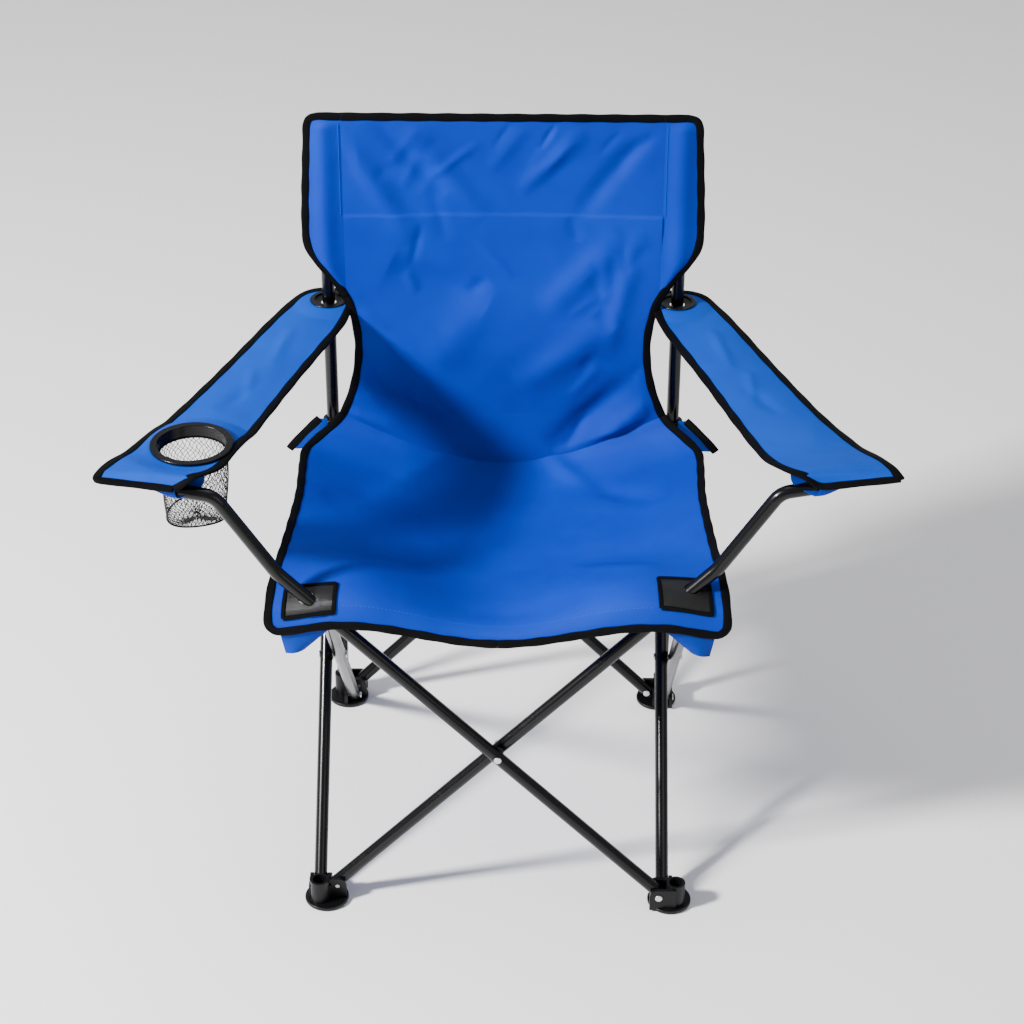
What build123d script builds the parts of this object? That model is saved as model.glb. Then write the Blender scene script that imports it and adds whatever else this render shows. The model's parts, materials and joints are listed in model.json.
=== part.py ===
"""Folding camp chair: eight crossing steel tubes, two back posts, moulded joints and cloth.

Millimetres, +Z up, +Y towards the back, origin on the floor under the middle of the chair.
The four sides carry the same pair of crossed tubes, each a quarter turn from the next, so the
joints, rivets and tubes are made once for the rear side and turned about Z. The left and right
pairs sit a little lower than the front and rear pairs, which lets the arm tubes pass over them.
"""
import os
from math import atan2, degrees, hypot, radians, sin

from build123d import *

os.makedirs("parts", exist_ok=True)

# ---------------------------------------------------------------- driving dimensions
FOOT_SPACING = 425.0  # between foot centres, both ways
TUBE_D = 16.0
TUBE_WALL = 1.0
PLANE_GAP = 1.0  # air between two crossed tubes
PIVOT_INSET = 14.0  # from a foot centre to the tube's pivot along the side
LOW_PIVOT_Z = 22.0
HIGH_PIVOT_Z = 436.0
SIDE_DROP = 8.0  # how much lower the left and right pairs of tubes sit
POST_INSET = 7.5  # back post, outside the foot centre on both axes
POST_TOP_Z = 846.0
CLOTH_TOP_Z = 860.0
CLOTH_T = 3.0
PIN_D = 5.0
PIN_PLAY = 0.05  # running clearance of a rivet, radial
OPEN_PLAY = 0.3  # radial play at the pivots that close the linkage loops
HEAD_D = 9.0
HEAD_T = 1.6
HEAD_GAP = 0.2  # between a tube and a rivet head at a crossing
WASHER_GAP = 0.1
WASHER_R = 7.0
PLATE_GAP = 0.4
PLUG_L = 10.0  # end plugs of the posts and arm tubes
PLUG_DOME = 4.0
PLUG_ROUND = 3.0
TAB_T = 2.4  # sewn double cloth of the small pockets and tabs

# ---------------------------------------------------------------- worked-out places
HALF = FOOT_SPACING / 2
TUBE_R = TUBE_D / 2
OUTER = HALF + (TUBE_D + PLANE_GAP) / 2
INNER = HALF - (TUBE_D + PLANE_GAP) / 2
PIVOT = HALF - PIVOT_INSET
POST = HALF + POST_INSET
MID_Z = (LOW_PIVOT_Z + HIGH_PIVOT_Z) / 2
SLOPE = degrees(atan2(HIGH_PIVOT_Z - LOW_PIVOT_Z, 2 * PIVOT))
REACH = hypot(HIGH_PIVOT_Z - LOW_PIVOT_Z, 2 * PIVOT)


def turned(shape, quarters):
    """The rear side's shape, turned by quarter turns about Z."""
    return Rot(0, 0, 90 * quarters) * shape


def save(shape, name):
    """Writes one node."""
    export_step(shape, f"parts/{name}.step")


def block(x0, x1, y0, y1, z0, z1):
    """A box between two corners."""
    size = (x1 - x0, y1 - y0, z1 - z0)
    return Pos((x0 + x1) / 2, (y0 + y1) / 2, (z0 + z1) / 2) * Box(*size)


def rod_y(x, y0, y1, z, radius):
    """A cylinder along Y from y0 to y1."""
    return Pos(x, (y0 + y1) / 2, z) * Rot(90, 0, 0) * Cylinder(radius, abs(y1 - y0))


def rod_x(x0, x1, y, z, radius):
    """A cylinder along X from x0 to x1."""
    return Pos((x0 + x1) / 2, y, z) * Rot(0, 90, 0) * Cylinder(radius, abs(x1 - x0))


def head_y(x, y, z, way):
    """A domed rivet head on the plane at y, standing out towards way times Y."""
    disc = rod_y(x, y, y + way * HEAD_T, z, HEAD_D / 2)
    rim = disc.edges().filter_by(GeomType.CIRCLE).sort_by(Axis.Y)[-1 if way > 0 else 0]
    return fillet(rim, HEAD_T * 0.6)


def rivet_y(x, y0, y1, z, ends=(-1, 1)):
    """A rivet along Y: shank from y0 to y1 with a domed head outside the ends that are named."""
    body = rod_y(x, y0, y1, z, PIN_D / 2)
    for way in ends:
        body += head_y(x, y1 if way > 0 else y0, z, way)
    return body


def rivet_x(x0, x1, y, z, ends=(-1, 1)):
    """A rivet along X, the Y rivet turned a quarter turn."""
    return Rot(0, 0, -90) * rivet_y(-y, x0, x1, z, ends)


# ---------------------------------------------------------------- crossed tubes
def straight_tube(y, rising_right):
    """A hollow tube of the rear side, between the two corner pivots, with rounded ends."""
    lean = SLOPE if rising_right else 180 - SLOPE
    place = Pos(0, y, MID_Z) * Rot(0, 90 - lean, 0)
    long_tube = Cylinder(TUBE_R, REACH + TUBE_D) - Cylinder(TUBE_R - TUBE_WALL, REACH + 2 * TUBE_D)
    slab = Box(TUBE_D, TUBE_D, REACH)
    slab += Pos(0, 0, REACH / 2) * Rot(90, 0, 0) * Cylinder(TUBE_R, TUBE_D)
    slab += Pos(0, 0, -REACH / 2) * Rot(90, 0, 0) * Cylinder(TUBE_R, TUBE_D)
    return place * (long_tube & slab)


def drilled(tube, y, holes):
    """The tube with cross holes along Y; holes lists (x, z, play)."""
    for x, z, play in holes:
        tube -= rod_y(x, y - TUBE_D, y + TUBE_D, z, PIN_D / 2 + play)
    return tube


def outer_tube(high_play):
    """Rises to the right in the rear side's outer plane."""
    holes = [(-PIVOT, LOW_PIVOT_Z, PIN_PLAY), (0, MID_Z, PIN_PLAY), (PIVOT, HIGH_PIVOT_Z, high_play)]
    return drilled(straight_tube(OUTER, True), OUTER, holes)


def inner_tube(high_play, low_play):
    """Rises to the left in the rear side's inner plane."""
    holes = [(PIVOT, LOW_PIVOT_Z, low_play), (0, MID_Z, PIN_PLAY), (-PIVOT, HIGH_PIVOT_Z, high_play)]
    return drilled(straight_tube(INNER, False), INNER, holes)


def cross_rivet():
    """The rivet through the two tubes where they cross."""
    return rivet_y(0, INNER - TUBE_R - HEAD_GAP, OUTER + TUBE_R + HEAD_GAP, MID_Z)


def cross_washer():
    """The thin spacer between the crossed tubes."""
    disc = rod_y(0, INNER + TUBE_R + WASHER_GAP, OUTER - TUBE_R - WASHER_GAP, MID_Z, WASHER_R)
    return disc - rod_y(0, INNER, OUTER, MID_Z, PIN_D / 2 + PIN_PLAY)


# The front tubes run on past the seat corner and carry the armrests.
ARM_KNEE = (252.0, 487.8)  # |x|, z where the tube turns steeper
ARM_ELBOW = (318.0, 590.0)  # where it turns out under the armrest
ARM_END = (356.0, 597.0)
ARM_RADII = [70.0, 26.0]


def arm_path(side, y):
    """Centre line of a front tube in its own plane; side is the side its armrest is on."""
    low = (-side * PIVOT, y, LOW_PIVOT_Z)
    knee = (side * ARM_KNEE[0], y, ARM_KNEE[1])
    elbow = (side * ARM_ELBOW[0], y, ARM_ELBOW[1])
    end = (side * ARM_END[0], y, ARM_END[1])
    return FilletPolyline(low, knee, elbow, end, radius=ARM_RADII)


def arm_tube(side, y, high_play):
    """A front tube: foot to seat corner to armrest, hollow, with a rounded foot end."""
    path = arm_path(side, y)
    ring = Plane(path @ 0, z_dir=path % 0) * (Circle(TUBE_R) - Circle(TUBE_R - TUBE_WALL))
    tube = sweep(ring, path)
    # the foot end: a short hollow stub, rounded about the pivot
    lean = atan2(ARM_KNEE[1] - LOW_PIVOT_Z, ARM_KNEE[0] + PIVOT)
    place = Pos(-side * PIVOT, y, LOW_PIVOT_Z) * Rot(0, side * (90 - degrees(lean)), 0)
    stub = Pos(0, 0, -TUBE_R / 2) * (Cylinder(TUBE_R, TUBE_R) - Cylinder(TUBE_R - TUBE_WALL, TUBE_D))
    tube += place * (stub & (Rot(90, 0, 0) * Cylinder(TUBE_R, 2 * TUBE_D)))
    holes = [(-side * PIVOT, LOW_PIVOT_Z, OPEN_PLAY), (0, MID_Z, PIN_PLAY)]
    holes.append((side * PIVOT, HIGH_PIVOT_Z, high_play))
    return drilled(tube, y, holes)


def arm_cap(side, y):
    """A plug in the top end of a front tube, inside the armrest pocket."""
    path = arm_path(side, y)
    end = Plane(path @ 1, z_dir=path % 1)
    plug = end * (Pos(0, 0, -PLUG_L / 2) * Cylinder(TUBE_R - TUBE_WALL, PLUG_L))
    dome = end * (Pos(0, 0, PLUG_DOME / 2) * Cylinder(TUBE_R, PLUG_DOME))
    rims = dome.edges().filter_by(GeomType.CIRCLE).sort_by(Axis.X)
    dome = fillet(rims[-1 if side > 0 else 0], PLUG_ROUND)
    return plug + dome


# ---------------------------------------------------------------- moulded joints
PAD_H = 5.5
PAD_R = 27.0
PAD_LOW_ROUND = 2.5
PAD_TOP_ROUND = 1.0
FOOT_H = 36.0
SOCKET_R = TUBE_R + 0.3
SOCKET_OUT = 11.5
SOCKET_SUNK = 1.0  # how far the socket's wall runs into the pad
SOCKET_FLOOR = 7.5  # height of the socket's bottom
LUG_R = 11.0
CHEEK_T = 4.5
WALL_Y0 = PIVOT + TUBE_R + PLATE_GAP  # the wall between an outer tube and an inner tube's end
WALL_Y1 = OUTER - TUBE_R - PLATE_GAP
BESIDE_INNER = INNER + TUBE_R + PLATE_GAP
BESIDE_OUTER = OUTER - TUBE_R - PLATE_GAP


def lug_wall(x0, x1, y0, y1, pivot_z):
    """A wall across Y with its free top corner, towards +X, rounded about the pivot."""
    wall = block(x0, x1, y0, y1, PAD_H / 2, pivot_z + LUG_R)
    corner = wall.edges().filter_by(Axis.Y).sort_by(lambda e: e.center().X + e.center().Z)[-1]
    return fillet(corner, LUG_R - 2)


def foot(outer_z, inner_z):
    """A foot: a round pad, a post socket and the lugs for an outer and an inner tube end."""
    pad = Pos(-HALF, HALF, PAD_H / 2) * Cylinder(PAD_R, PAD_H)
    pad = fillet(pad.edges().sort_by(Axis.Z)[0], PAD_LOW_ROUND)
    pad = fillet(pad.edges().sort_by(Axis.Z)[-1], PAD_TOP_ROUND)
    socket_low = PAD_H - SOCKET_SUNK
    socket = Pos(-POST, POST, (FOOT_H + socket_low) / 2) * Cylinder(SOCKET_OUT, FOOT_H - socket_low)
    reach = -PIVOT + LUG_R
    far = OUTER + TUBE_R + PLATE_GAP
    body = pad + socket
    body += lug_wall(-POST, reach, WALL_Y0, WALL_Y1, outer_z)
    body += lug_wall(-POST, reach, far, far + CHEEK_T, outer_z)
    side_wall = lug_wall(-POST, reach, BESIDE_INNER, BESIDE_INNER + CHEEK_T, inner_z)
    body += mirror(Rot(0, 0, 90) * side_wall, Plane.XZ)
    body -= Pos(-POST, POST, SOCKET_FLOOR + FOOT_H / 2) * Cylinder(SOCKET_R, FOOT_H)
    body -= rod_y(-PIVOT, WALL_Y0 - 1, far + 2 * CHEEK_T, outer_z, PIN_D / 2 + PIN_PLAY)
    body -= rod_x(-BESIDE_INNER - 2 * CHEEK_T, -INNER, PIVOT, inner_z, PIN_D / 2 + PIN_PLAY)
    return body


def foot_rivets(outer_z, inner_z):
    """The two rivets of a foot; they sit still in the foot while the tubes turn on them."""
    far = OUTER + TUBE_R + PLATE_GAP + CHEEK_T + 0.1
    along_y = rivet_y(-PIVOT, WALL_Y0 + 0.5, far, outer_z, ends=[1])
    along_x = rivet_x(-BESIDE_INNER - CHEEK_T + 0.2, -INNER + TUBE_R + 0.3, PIVOT, inner_z, ends=[1])
    return Compound(children=[along_y, along_x])


PLATE_LOW = 14.0  # how far a top joint's lugs reach below their pivot
PLATE_HIGH = 4.5
COLLAR_R = 13.0
COLLAR_PLAY = 0.5
COLLAR_ROUND = 1.5
COLLAR_LOW = 4.0  # how far a slider's collar reaches below its lugs
COLLAR_HIGH = 6.0  # and above its upper pivot
WEB_R = 9.0
WEB_RISE = 1.0  # a front hub's web ends this far above its lower pivot
NOTCH_RISE = 2.6  # and its outer corner is cut away above this height


def top_plates(outer_z, inner_z, above):
    """The two lugs of a top joint, reaching above their pivots by the given height."""
    plate_y = block(-POST, -PIVOT + LUG_R, BESIDE_INNER, BESIDE_INNER + CHEEK_T,
                    inner_z - PLATE_LOW, inner_z + above)
    plate_x = block(-BESIDE_OUTER, -BESIDE_OUTER + CHEEK_T, PIVOT - LUG_R, POST,
                    outer_z - PLATE_LOW, outer_z + above)
    plates = plate_y + plate_x
    hole = PIN_D / 2 + PIN_PLAY
    plates -= rod_y(-PIVOT, BESIDE_INNER - 1, BESIDE_INNER + CHEEK_T + 1, inner_z, hole)
    plates -= rod_x(-BESIDE_OUTER - 1, -BESIDE_OUTER + CHEEK_T + 1, PIVOT, outer_z, hole)
    return plates


def slider(outer_z, inner_z):
    """A slider: a collar that runs on the back post, with the two lugs."""
    low = min(outer_z, inner_z) - PLATE_LOW - COLLAR_LOW
    high = max(outer_z, inner_z) + COLLAR_HIGH
    middle = Pos(-POST, POST, (low + high) / 2)
    collar = middle * Cylinder(COLLAR_R, high - low)
    collar = fillet(collar.edges().filter_by(GeomType.CIRCLE), COLLAR_ROUND)
    body = collar + top_plates(outer_z, inner_z, PLATE_HIGH + WEB_RISE)
    return body - middle * Cylinder(TUBE_R + COLLAR_PLAY, 2 * (high - low))


def corner_hub(outer_z, inner_z):
    """The two lugs on a solid web, hidden under a front corner of the seat."""
    low = min(outer_z, inner_z) - PLATE_LOW
    high = min(outer_z, inner_z) + WEB_RISE
    web = Pos(-POST, POST, (low + high) / 2) * Cylinder(WEB_R, high - low)
    lugs = top_plates(outer_z, inner_z, PLATE_HIGH)
    notch = block(-2 * HALF, -PIVOT - TUBE_R, BESIDE_INNER - 2 * TUBE_R - 1, OUTER + TUBE_R + 1,
                  min(outer_z, inner_z) + NOTCH_RISE, 2 * HIGH_PIVOT_Z)
    return (lugs - notch) + web


def top_rivets(outer_z, inner_z):
    """The two rivets of a top joint."""
    along_y = rivet_y(-PIVOT, INNER - TUBE_R - 0.3, BESIDE_INNER + CHEEK_T - 0.3, inner_z, ends=[-1])
    along_x = rivet_x(-OUTER - TUBE_R - 0.3, -BESIDE_OUTER + CHEEK_T - 0.3, PIVOT, outer_z, ends=[-1])
    return Compound(children=[along_y, along_x])


# ---------------------------------------------------------------- cloth
SEAT_SIDE = 256.0
SEAT_STATIONS = 5
# seat section, (y, z) of its top face: along a side hem, and along the middle
SIDE_LINE = [(-242, 414), (-226, 450), (-196, 464), (-110, 458), (20, 454), (150, 450), (184, 454)]
MID_LINE = [(-250, 378), (-240, 396), (-205, 404), (-110, 398), (20, 390), (150, 388), (184, 392)]
ARM_OUTER = [(446, -224), (404, -128), (350, 30), (294, 176), (258, 234)]
ARM_INNER = [(196, 236), (228, 116), (264, 0), (304, -148), (340, -230)]
ARM_Z = 611.0
ARM_REAR = (226.0, 250.0)  # |x|, y of the armrest's rounded rear end
GROMMET_R = 18.0  # wide enough for the post when the armrest tilts up
GROMMET_OUT = 23.5
GROMMET_WALL = 1.6
FLANGE_T = 1.2
FLANGE_ROUND = 0.8
CUP_X = -350.0
CUP_Y = -146.0
CUP_R = 42.0
CUP_BORE = 39.5
CUP_RING_OUT = 48.0
CUP_RIM_T = 3.0
CUP_RIM_ROUND = 1.2
CUP_SKIRT = 12.0  # depth of the ring's skirt below the armrest's middle
CUP_DEPTH = 92.0
CUP_TAPER = 8.0
CUP_WALL = 1.6
CUT_H = 20.0  # tall enough to cut through any cloth


def strip(points, thickness, x):
    """A face across X: the open line given by points, thickened straight down."""
    upper = [(x, y, z) for y, z in points]
    lower = [(x, y, z - thickness) for y, z in reversed(points)]
    return make_face(Polyline(*upper, *lower, close=True))


def blend_line(share):
    """A seat section between the side line (share 0) and the middle line (share 1)."""
    dip = sin(radians(90 * share))
    return [
        (ys + (ym - ys) * dip, zs + (zm - zs) * dip)
        for (ys, zs), (ym, zm) in zip(SIDE_LINE, MID_LINE)
    ]


def seat_half(side):
    """Half of the seat cloth, ruled from the side hem down to the middle."""
    faces = []
    for i in range(SEAT_STATIONS):
        share = i / (SEAT_STATIONS - 1)
        faces.append(strip(blend_line(share), CLOTH_T, side * SEAT_SIDE * (1 - share)))
    return loft(faces, ruled=True)


TUBE_ROOM = 3.0  # air round the arm tube where it passes through the seat
JOINT_ROOM_X = 27.0
JOINT_ROOM_FRONT = 20.0
JOINT_ROOM_BACK = 16.0
JOINT_ROOM_UP = 9.0


def front_clearance(side, y):
    """The room that the arm tube and the top joint take at a front corner of the seat."""
    path = arm_path(side, y)
    room = sweep(Plane(path @ 0, z_dir=path % 0) * Circle(TUBE_R + TUBE_ROOM), path)
    low_x = side * HALF - JOINT_ROOM_X
    high_x = side * HALF + JOINT_ROOM_X
    front = -HALF - JOINT_ROOM_FRONT
    return room + block(low_x, high_x, front, -PIVOT + JOINT_ROOM_BACK, PIVOT, HIGH_PIVOT_Z + JOINT_ROOM_UP)


# outline of the back cloth, (|x|, height above its bottom seam), up to the top hem
BACK_SIDE = [(188, 0), (188, 60), (184, 164), (190, 244), (197, 294), (197, 462)]
BACK_BOTTOM_Z = CLOTH_TOP_Z - BACK_SIDE[-1][1]
BACK_BOTTOM_Y = 190.0
BACK_TOP_Y = 207.0


def back_cloth():
    """The back panel between the two sleeves, leaning back a little towards the top."""
    right = [(x, z) for x, z in BACK_SIDE]
    left = [(-x, z) for x, z in reversed(BACK_SIDE)]
    outline = make_face(Polyline(*right, *left, close=True))
    lean = degrees(atan2(BACK_TOP_Y - BACK_BOTTOM_Y, BACK_SIDE[-1][1]))
    sheet = Rot(-lean, 0, 0) * (Plane.XZ * extrude(outline, amount=CLOTH_T))
    return Pos(0, BACK_BOTTOM_Y, BACK_BOTTOM_Z) * sheet


SLEEVE_LOW = 700.0
SLEEVE_OUT = 252.0
SLEEVE_IN = 197.6
SLEEVE_ROOM = 1.0
SLEEVE_DEPTH = 32.0
SLEEVE_BEHIND = 5.0  # cloth and air behind the post
SLEEVE_ROUND = 9.0
SLEEVE_TOP_ROOM = 5.0


def sleeve(side):
    """A flat pocket sewn round the top of a back post, closed at the top."""
    width = SLEEVE_OUT - SLEEVE_IN
    height = CLOTH_TOP_Z - SLEEVE_LOW
    centre_x = side * (SLEEVE_OUT + SLEEVE_IN) / 2
    centre_y = POST + TUBE_R + SLEEVE_BEHIND - SLEEVE_DEPTH / 2
    body = Pos(centre_x, centre_y, SLEEVE_LOW + height / 2) * Box(width, SLEEVE_DEPTH, height)
    body = fillet(body.edges().filter_by(Axis.Z), SLEEVE_ROUND)
    room_high = POST_TOP_Z + SLEEVE_TOP_ROOM
    room_low = SLEEVE_LOW - CUT_H
    room = Cylinder(TUBE_R + SLEEVE_ROOM, room_high - room_low)
    return body - Pos(side * POST, POST, (room_low + room_high) / 2) * room


def armrest(side):
    """An armrest cloth with its rear hole for the post's eyelet and, on the left, the cup hole."""
    outer = [(side * x, y) for x, y in ARM_OUTER]
    inner = [(side * x, y) for x, y in ARM_INNER]
    line = Spline(*outer)
    line += ThreePointArc(outer[-1], (side * ARM_REAR[0], ARM_REAR[1]), inner[0])
    line += Spline(*inner)
    line += Line(inner[-1], outer[0])
    cloth = Pos(0, 0, ARM_Z - CLOTH_T / 2) * extrude(make_face(line), amount=CLOTH_T)
    cloth -= Pos(side * POST, POST, ARM_Z) * Cylinder(GROMMET_R + GROMMET_WALL, CUT_H)
    if side < 0:
        cloth -= Pos(CUP_X, CUP_Y, ARM_Z) * Cylinder(CUP_R + PLATE_GAP, CUT_H)
    return cloth


def grommet(side):
    """The plastic eyelet that the back post passes through."""
    step = (CLOTH_T + FLANGE_T) / 2
    top = Pos(0, 0, step) * Cylinder(GROMMET_OUT, FLANGE_T)
    bottom = Pos(0, 0, -step) * Cylinder(GROMMET_OUT, FLANGE_T)
    body = top + bottom + Cylinder(GROMMET_R + GROMMET_WALL, CLOTH_T + FLANGE_T)
    body -= Cylinder(GROMMET_R, CUT_H)
    rims = body.edges().filter_by(GeomType.CIRCLE).sort_by(Axis.Z)
    wide = [rim for rim in (rims[:2] + rims[-2:]) if rim.radius > GROMMET_R + GROMMET_WALL]
    return Pos(side * POST, POST, ARM_Z) * fillet(wide, FLANGE_ROUND)


def cup_ring():
    """The stiff ring that holds the cup net open."""
    low = CLOTH_T / 2 + WASHER_GAP
    band = Pos(0, 0, low + CUP_RIM_T / 2) * Cylinder(CUP_RING_OUT, CUP_RIM_T)
    band += Pos(0, 0, (low - CUP_SKIRT) / 2) * Cylinder(CUP_R, low + CUP_SKIRT)
    band -= Cylinder(CUP_BORE, 2 * CUP_RING_OUT)
    rims = [rim for rim in band.edges().filter_by(GeomType.CIRCLE) if rim.center().Z > low + WASHER_GAP]
    return Pos(CUP_X, CUP_Y, ARM_Z) * fillet(rims, CUP_RIM_ROUND)


def cup_net():
    """The hanging cup: a thin tapered bag with a closed bottom."""
    low = ARM_Z - CUP_DEPTH
    height = CUP_DEPTH - CUP_SKIRT - WASHER_GAP
    base_r = CUP_R - CUP_TAPER
    outer = Solid.make_cone(base_r, CUP_R, height)
    inner = Solid.make_cone(base_r - CUP_WALL, CUP_R - CUP_WALL, height)
    return Pos(CUP_X, CUP_Y, low) * outer - Pos(CUP_X, CUP_Y, low + CUP_WALL) * inner


PATCH_W = 60.0
PATCH_D = 44.0
PATCH_T = 1.6
PATCH_LEAN = 24.0
PATCH_ROUND = 4.0
PATCH_SHIFT = (-8.0, 4.0)  # of the patch's middle from the hole: outward, back
EYE_R = 10.0
EYE_X = 214.0
EYE_Z = {-1: 455.0, 1: 460.0}


def patch(side, y):
    """The sloping reinforcing patch that the arm tube comes through."""
    sheet = Pos(side * PATCH_SHIFT[0], PATCH_SHIFT[1], 0) * Box(PATCH_W, PATCH_D, PATCH_T)
    sheet = fillet(sheet.edges().filter_by(Axis.Z), PATCH_ROUND)
    place = Pos(side * EYE_X, y, EYE_Z[side]) * Rot(PATCH_LEAN, 0, 0)
    path = arm_path(side, y)
    room = sweep(Plane(path @ 0, z_dir=path % 0) * Circle(EYE_R), path)
    return place * sheet - room


# outlines of the small cloths, (|x|, z)
POCKET = [(252, 408), (182, 408), (240, 380), (252, 384)]
REAR_TAB = [(235, 452), (272, 404), (234, 410)]
POCKET_Y = -HALF - 20
REAR_TAB_Y = POST - 20


def flat_cloth(side, outline, y):
    """A small flat cloth that hangs across Y."""
    points = [(side * x, z) for x, z in outline]
    face = make_face(Polyline(*points, close=True))
    return Pos(0, y, 0) * (Plane.XZ * extrude(face, amount=TAB_T))


POST_LOW_Z = 13.0


def post(side):
    """A hollow back post."""
    tube = Cylinder(TUBE_R, POST_TOP_Z - POST_LOW_Z) - Cylinder(TUBE_R - TUBE_WALL, POST_TOP_Z)
    return Pos(side * POST, POST, (POST_TOP_Z + POST_LOW_Z) / 2) * tube


def post_cap(side):
    """The plug in the top of a back post."""
    plug = Pos(0, 0, -PLUG_L / 2) * Cylinder(TUBE_R - TUBE_WALL, PLUG_L)
    dome = Pos(0, 0, PLUG_DOME / 2) * Cylinder(TUBE_R, PLUG_DOME)
    dome = fillet(dome.edges().filter_by(GeomType.CIRCLE).sort_by(Axis.Z)[-1], PLUG_ROUND)
    return Pos(side * POST, POST, POST_TOP_Z) * (plug + dome)


# ---------------------------------------------------------------- write every node
SIDES = {"left": -1, "right": 1}
CORNERS = {"rear_left": 0, "front_left": 1, "front_right": 2, "rear_right": 3}
PAIRS = {"rear": 0, "left": 1, "front": 2, "right": 3}
SIDE_LOW = LOW_PIVOT_Z - SIDE_DROP
SIDE_HIGH = HIGH_PIVOT_Z - SIDE_DROP

for corner, turn in CORNERS.items():
    # at every other corner the outer tube end belongs to a left or right pair
    low = (SIDE_LOW, LOW_PIVOT_Z) if turn % 2 else (LOW_PIVOT_Z, SIDE_LOW)
    high = (HIGH_PIVOT_Z, SIDE_HIGH) if turn % 2 else (SIDE_HIGH, HIGH_PIVOT_Z)
    save(turned(foot(*low), turn), f"{corner}_foot")
    save(turned(foot_rivets(*low), turn), f"{corner}_foot_rivets")
    save(turned(top_rivets(*high), turn), f"{corner}_joint_rivets")
    if corner.startswith("rear"):
        save(turned(slider(*high), turn), f"{corner}_slider")
    else:
        save(turned(corner_hub(*high), turn), f"{corner}_hub")

for name, turn in PAIRS.items():
    drop = SIDE_DROP if turn % 2 else 0
    place = Pos(0, 0, -drop) * Rot(0, 0, 90 * turn)
    save(place * cross_rivet(), f"{name}_cross_rivet")
    save(place * cross_washer(), f"{name}_cross_washer")
    if name != "front":
        low_play = OPEN_PLAY if name == "right" else PIN_PLAY
        outer_play = PIN_PLAY if name == "rear" else OPEN_PLAY
        inner_play = OPEN_PLAY if name == "right" else PIN_PLAY
        save(place * outer_tube(outer_play), f"{name}_outer_tube")
        save(place * inner_tube(inner_play, low_play), f"{name}_inner_tube")

ARM_PLANES = {"left": -OUTER, "right": -INNER}
save(arm_tube(-1, -OUTER, OPEN_PLAY), "front_outer_tube")
save(arm_tube(1, -INNER, PIN_PLAY), "front_inner_tube")

for name, side in SIDES.items():
    plane_y = ARM_PLANES[name]
    room = front_clearance(side, plane_y)
    save(arm_cap(side, plane_y), f"{name}_arm_tube_cap")
    save(post(side), f"{name}_back_post")
    save(post_cap(side), f"{name}_post_cap")
    save(sleeve(side), f"{name}_back_sleeve")
    save(armrest(side), f"{name}_armrest_cloth")
    save(grommet(side), f"{name}_armrest_eyelet")
    save(seat_half(side) - room, f"seat_cloth_{name}")
    save(patch(side, plane_y), f"{name}_corner_patch")
    save(flat_cloth(side, POCKET, POCKET_Y), f"{name}_corner_pocket")
    save(flat_cloth(side, REAR_TAB, REAR_TAB_Y), f"{name}_rear_tab")

save(back_cloth(), "back_cloth")
save(cup_ring(), "cup_ring")
save(cup_net(), "cup_net")
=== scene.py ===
"""Folding camp chair: cloth, tape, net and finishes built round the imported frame.

Metres, +Z up, +Y towards the back, origin on the floor under the middle of the chair. The tubes,
posts, feet, joints, rivets, eyelets and the cup ring are the frame's own nodes and only get their
finishes here. Every sheet of cloth is a surface worked out on a grid and replaces its plain solid.
"""
from __future__ import annotations

import json
import logging
import math
from dataclasses import dataclass, field
from enum import Enum

import bpy
import numpy as np
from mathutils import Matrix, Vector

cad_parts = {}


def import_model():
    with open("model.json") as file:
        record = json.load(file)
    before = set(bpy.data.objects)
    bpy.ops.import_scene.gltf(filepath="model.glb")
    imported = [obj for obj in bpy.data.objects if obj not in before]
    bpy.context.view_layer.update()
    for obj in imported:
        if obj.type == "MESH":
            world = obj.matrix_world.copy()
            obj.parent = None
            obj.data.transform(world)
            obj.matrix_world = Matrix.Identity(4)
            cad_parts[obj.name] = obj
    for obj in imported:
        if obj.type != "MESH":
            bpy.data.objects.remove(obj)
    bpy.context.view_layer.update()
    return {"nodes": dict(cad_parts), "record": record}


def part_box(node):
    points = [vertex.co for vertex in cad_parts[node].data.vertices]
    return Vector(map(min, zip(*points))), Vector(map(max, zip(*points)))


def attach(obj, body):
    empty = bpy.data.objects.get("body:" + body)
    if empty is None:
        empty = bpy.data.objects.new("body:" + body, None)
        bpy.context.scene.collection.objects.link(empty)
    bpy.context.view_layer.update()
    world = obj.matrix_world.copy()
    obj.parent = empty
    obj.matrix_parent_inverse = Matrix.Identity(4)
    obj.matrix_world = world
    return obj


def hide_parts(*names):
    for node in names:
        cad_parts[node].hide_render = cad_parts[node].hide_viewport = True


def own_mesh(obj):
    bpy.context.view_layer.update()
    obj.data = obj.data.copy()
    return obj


LOG = logging.getLogger("camp_chair")
Array = np.ndarray
FORWARD = (0.0, -1.0, 0.0)
ALONG_Z = np.array([0.0, 0.0, 1.0])
HALF_TURN = math.pi
QUARTER_TURN = 0.5 * math.pi
FULL_TURN = 2 * math.pi
SPLINE_STEPS = 24
SHARP_EDGE_DEG = 50


class Side(Enum):
    """The two sides of the chair, as the sign of X."""

    LEFT = -1
    RIGHT = 1

    @property
    def word(self) -> str:
        """The side's name as the frame's nodes spell it."""
        return self.name.lower()


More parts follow.
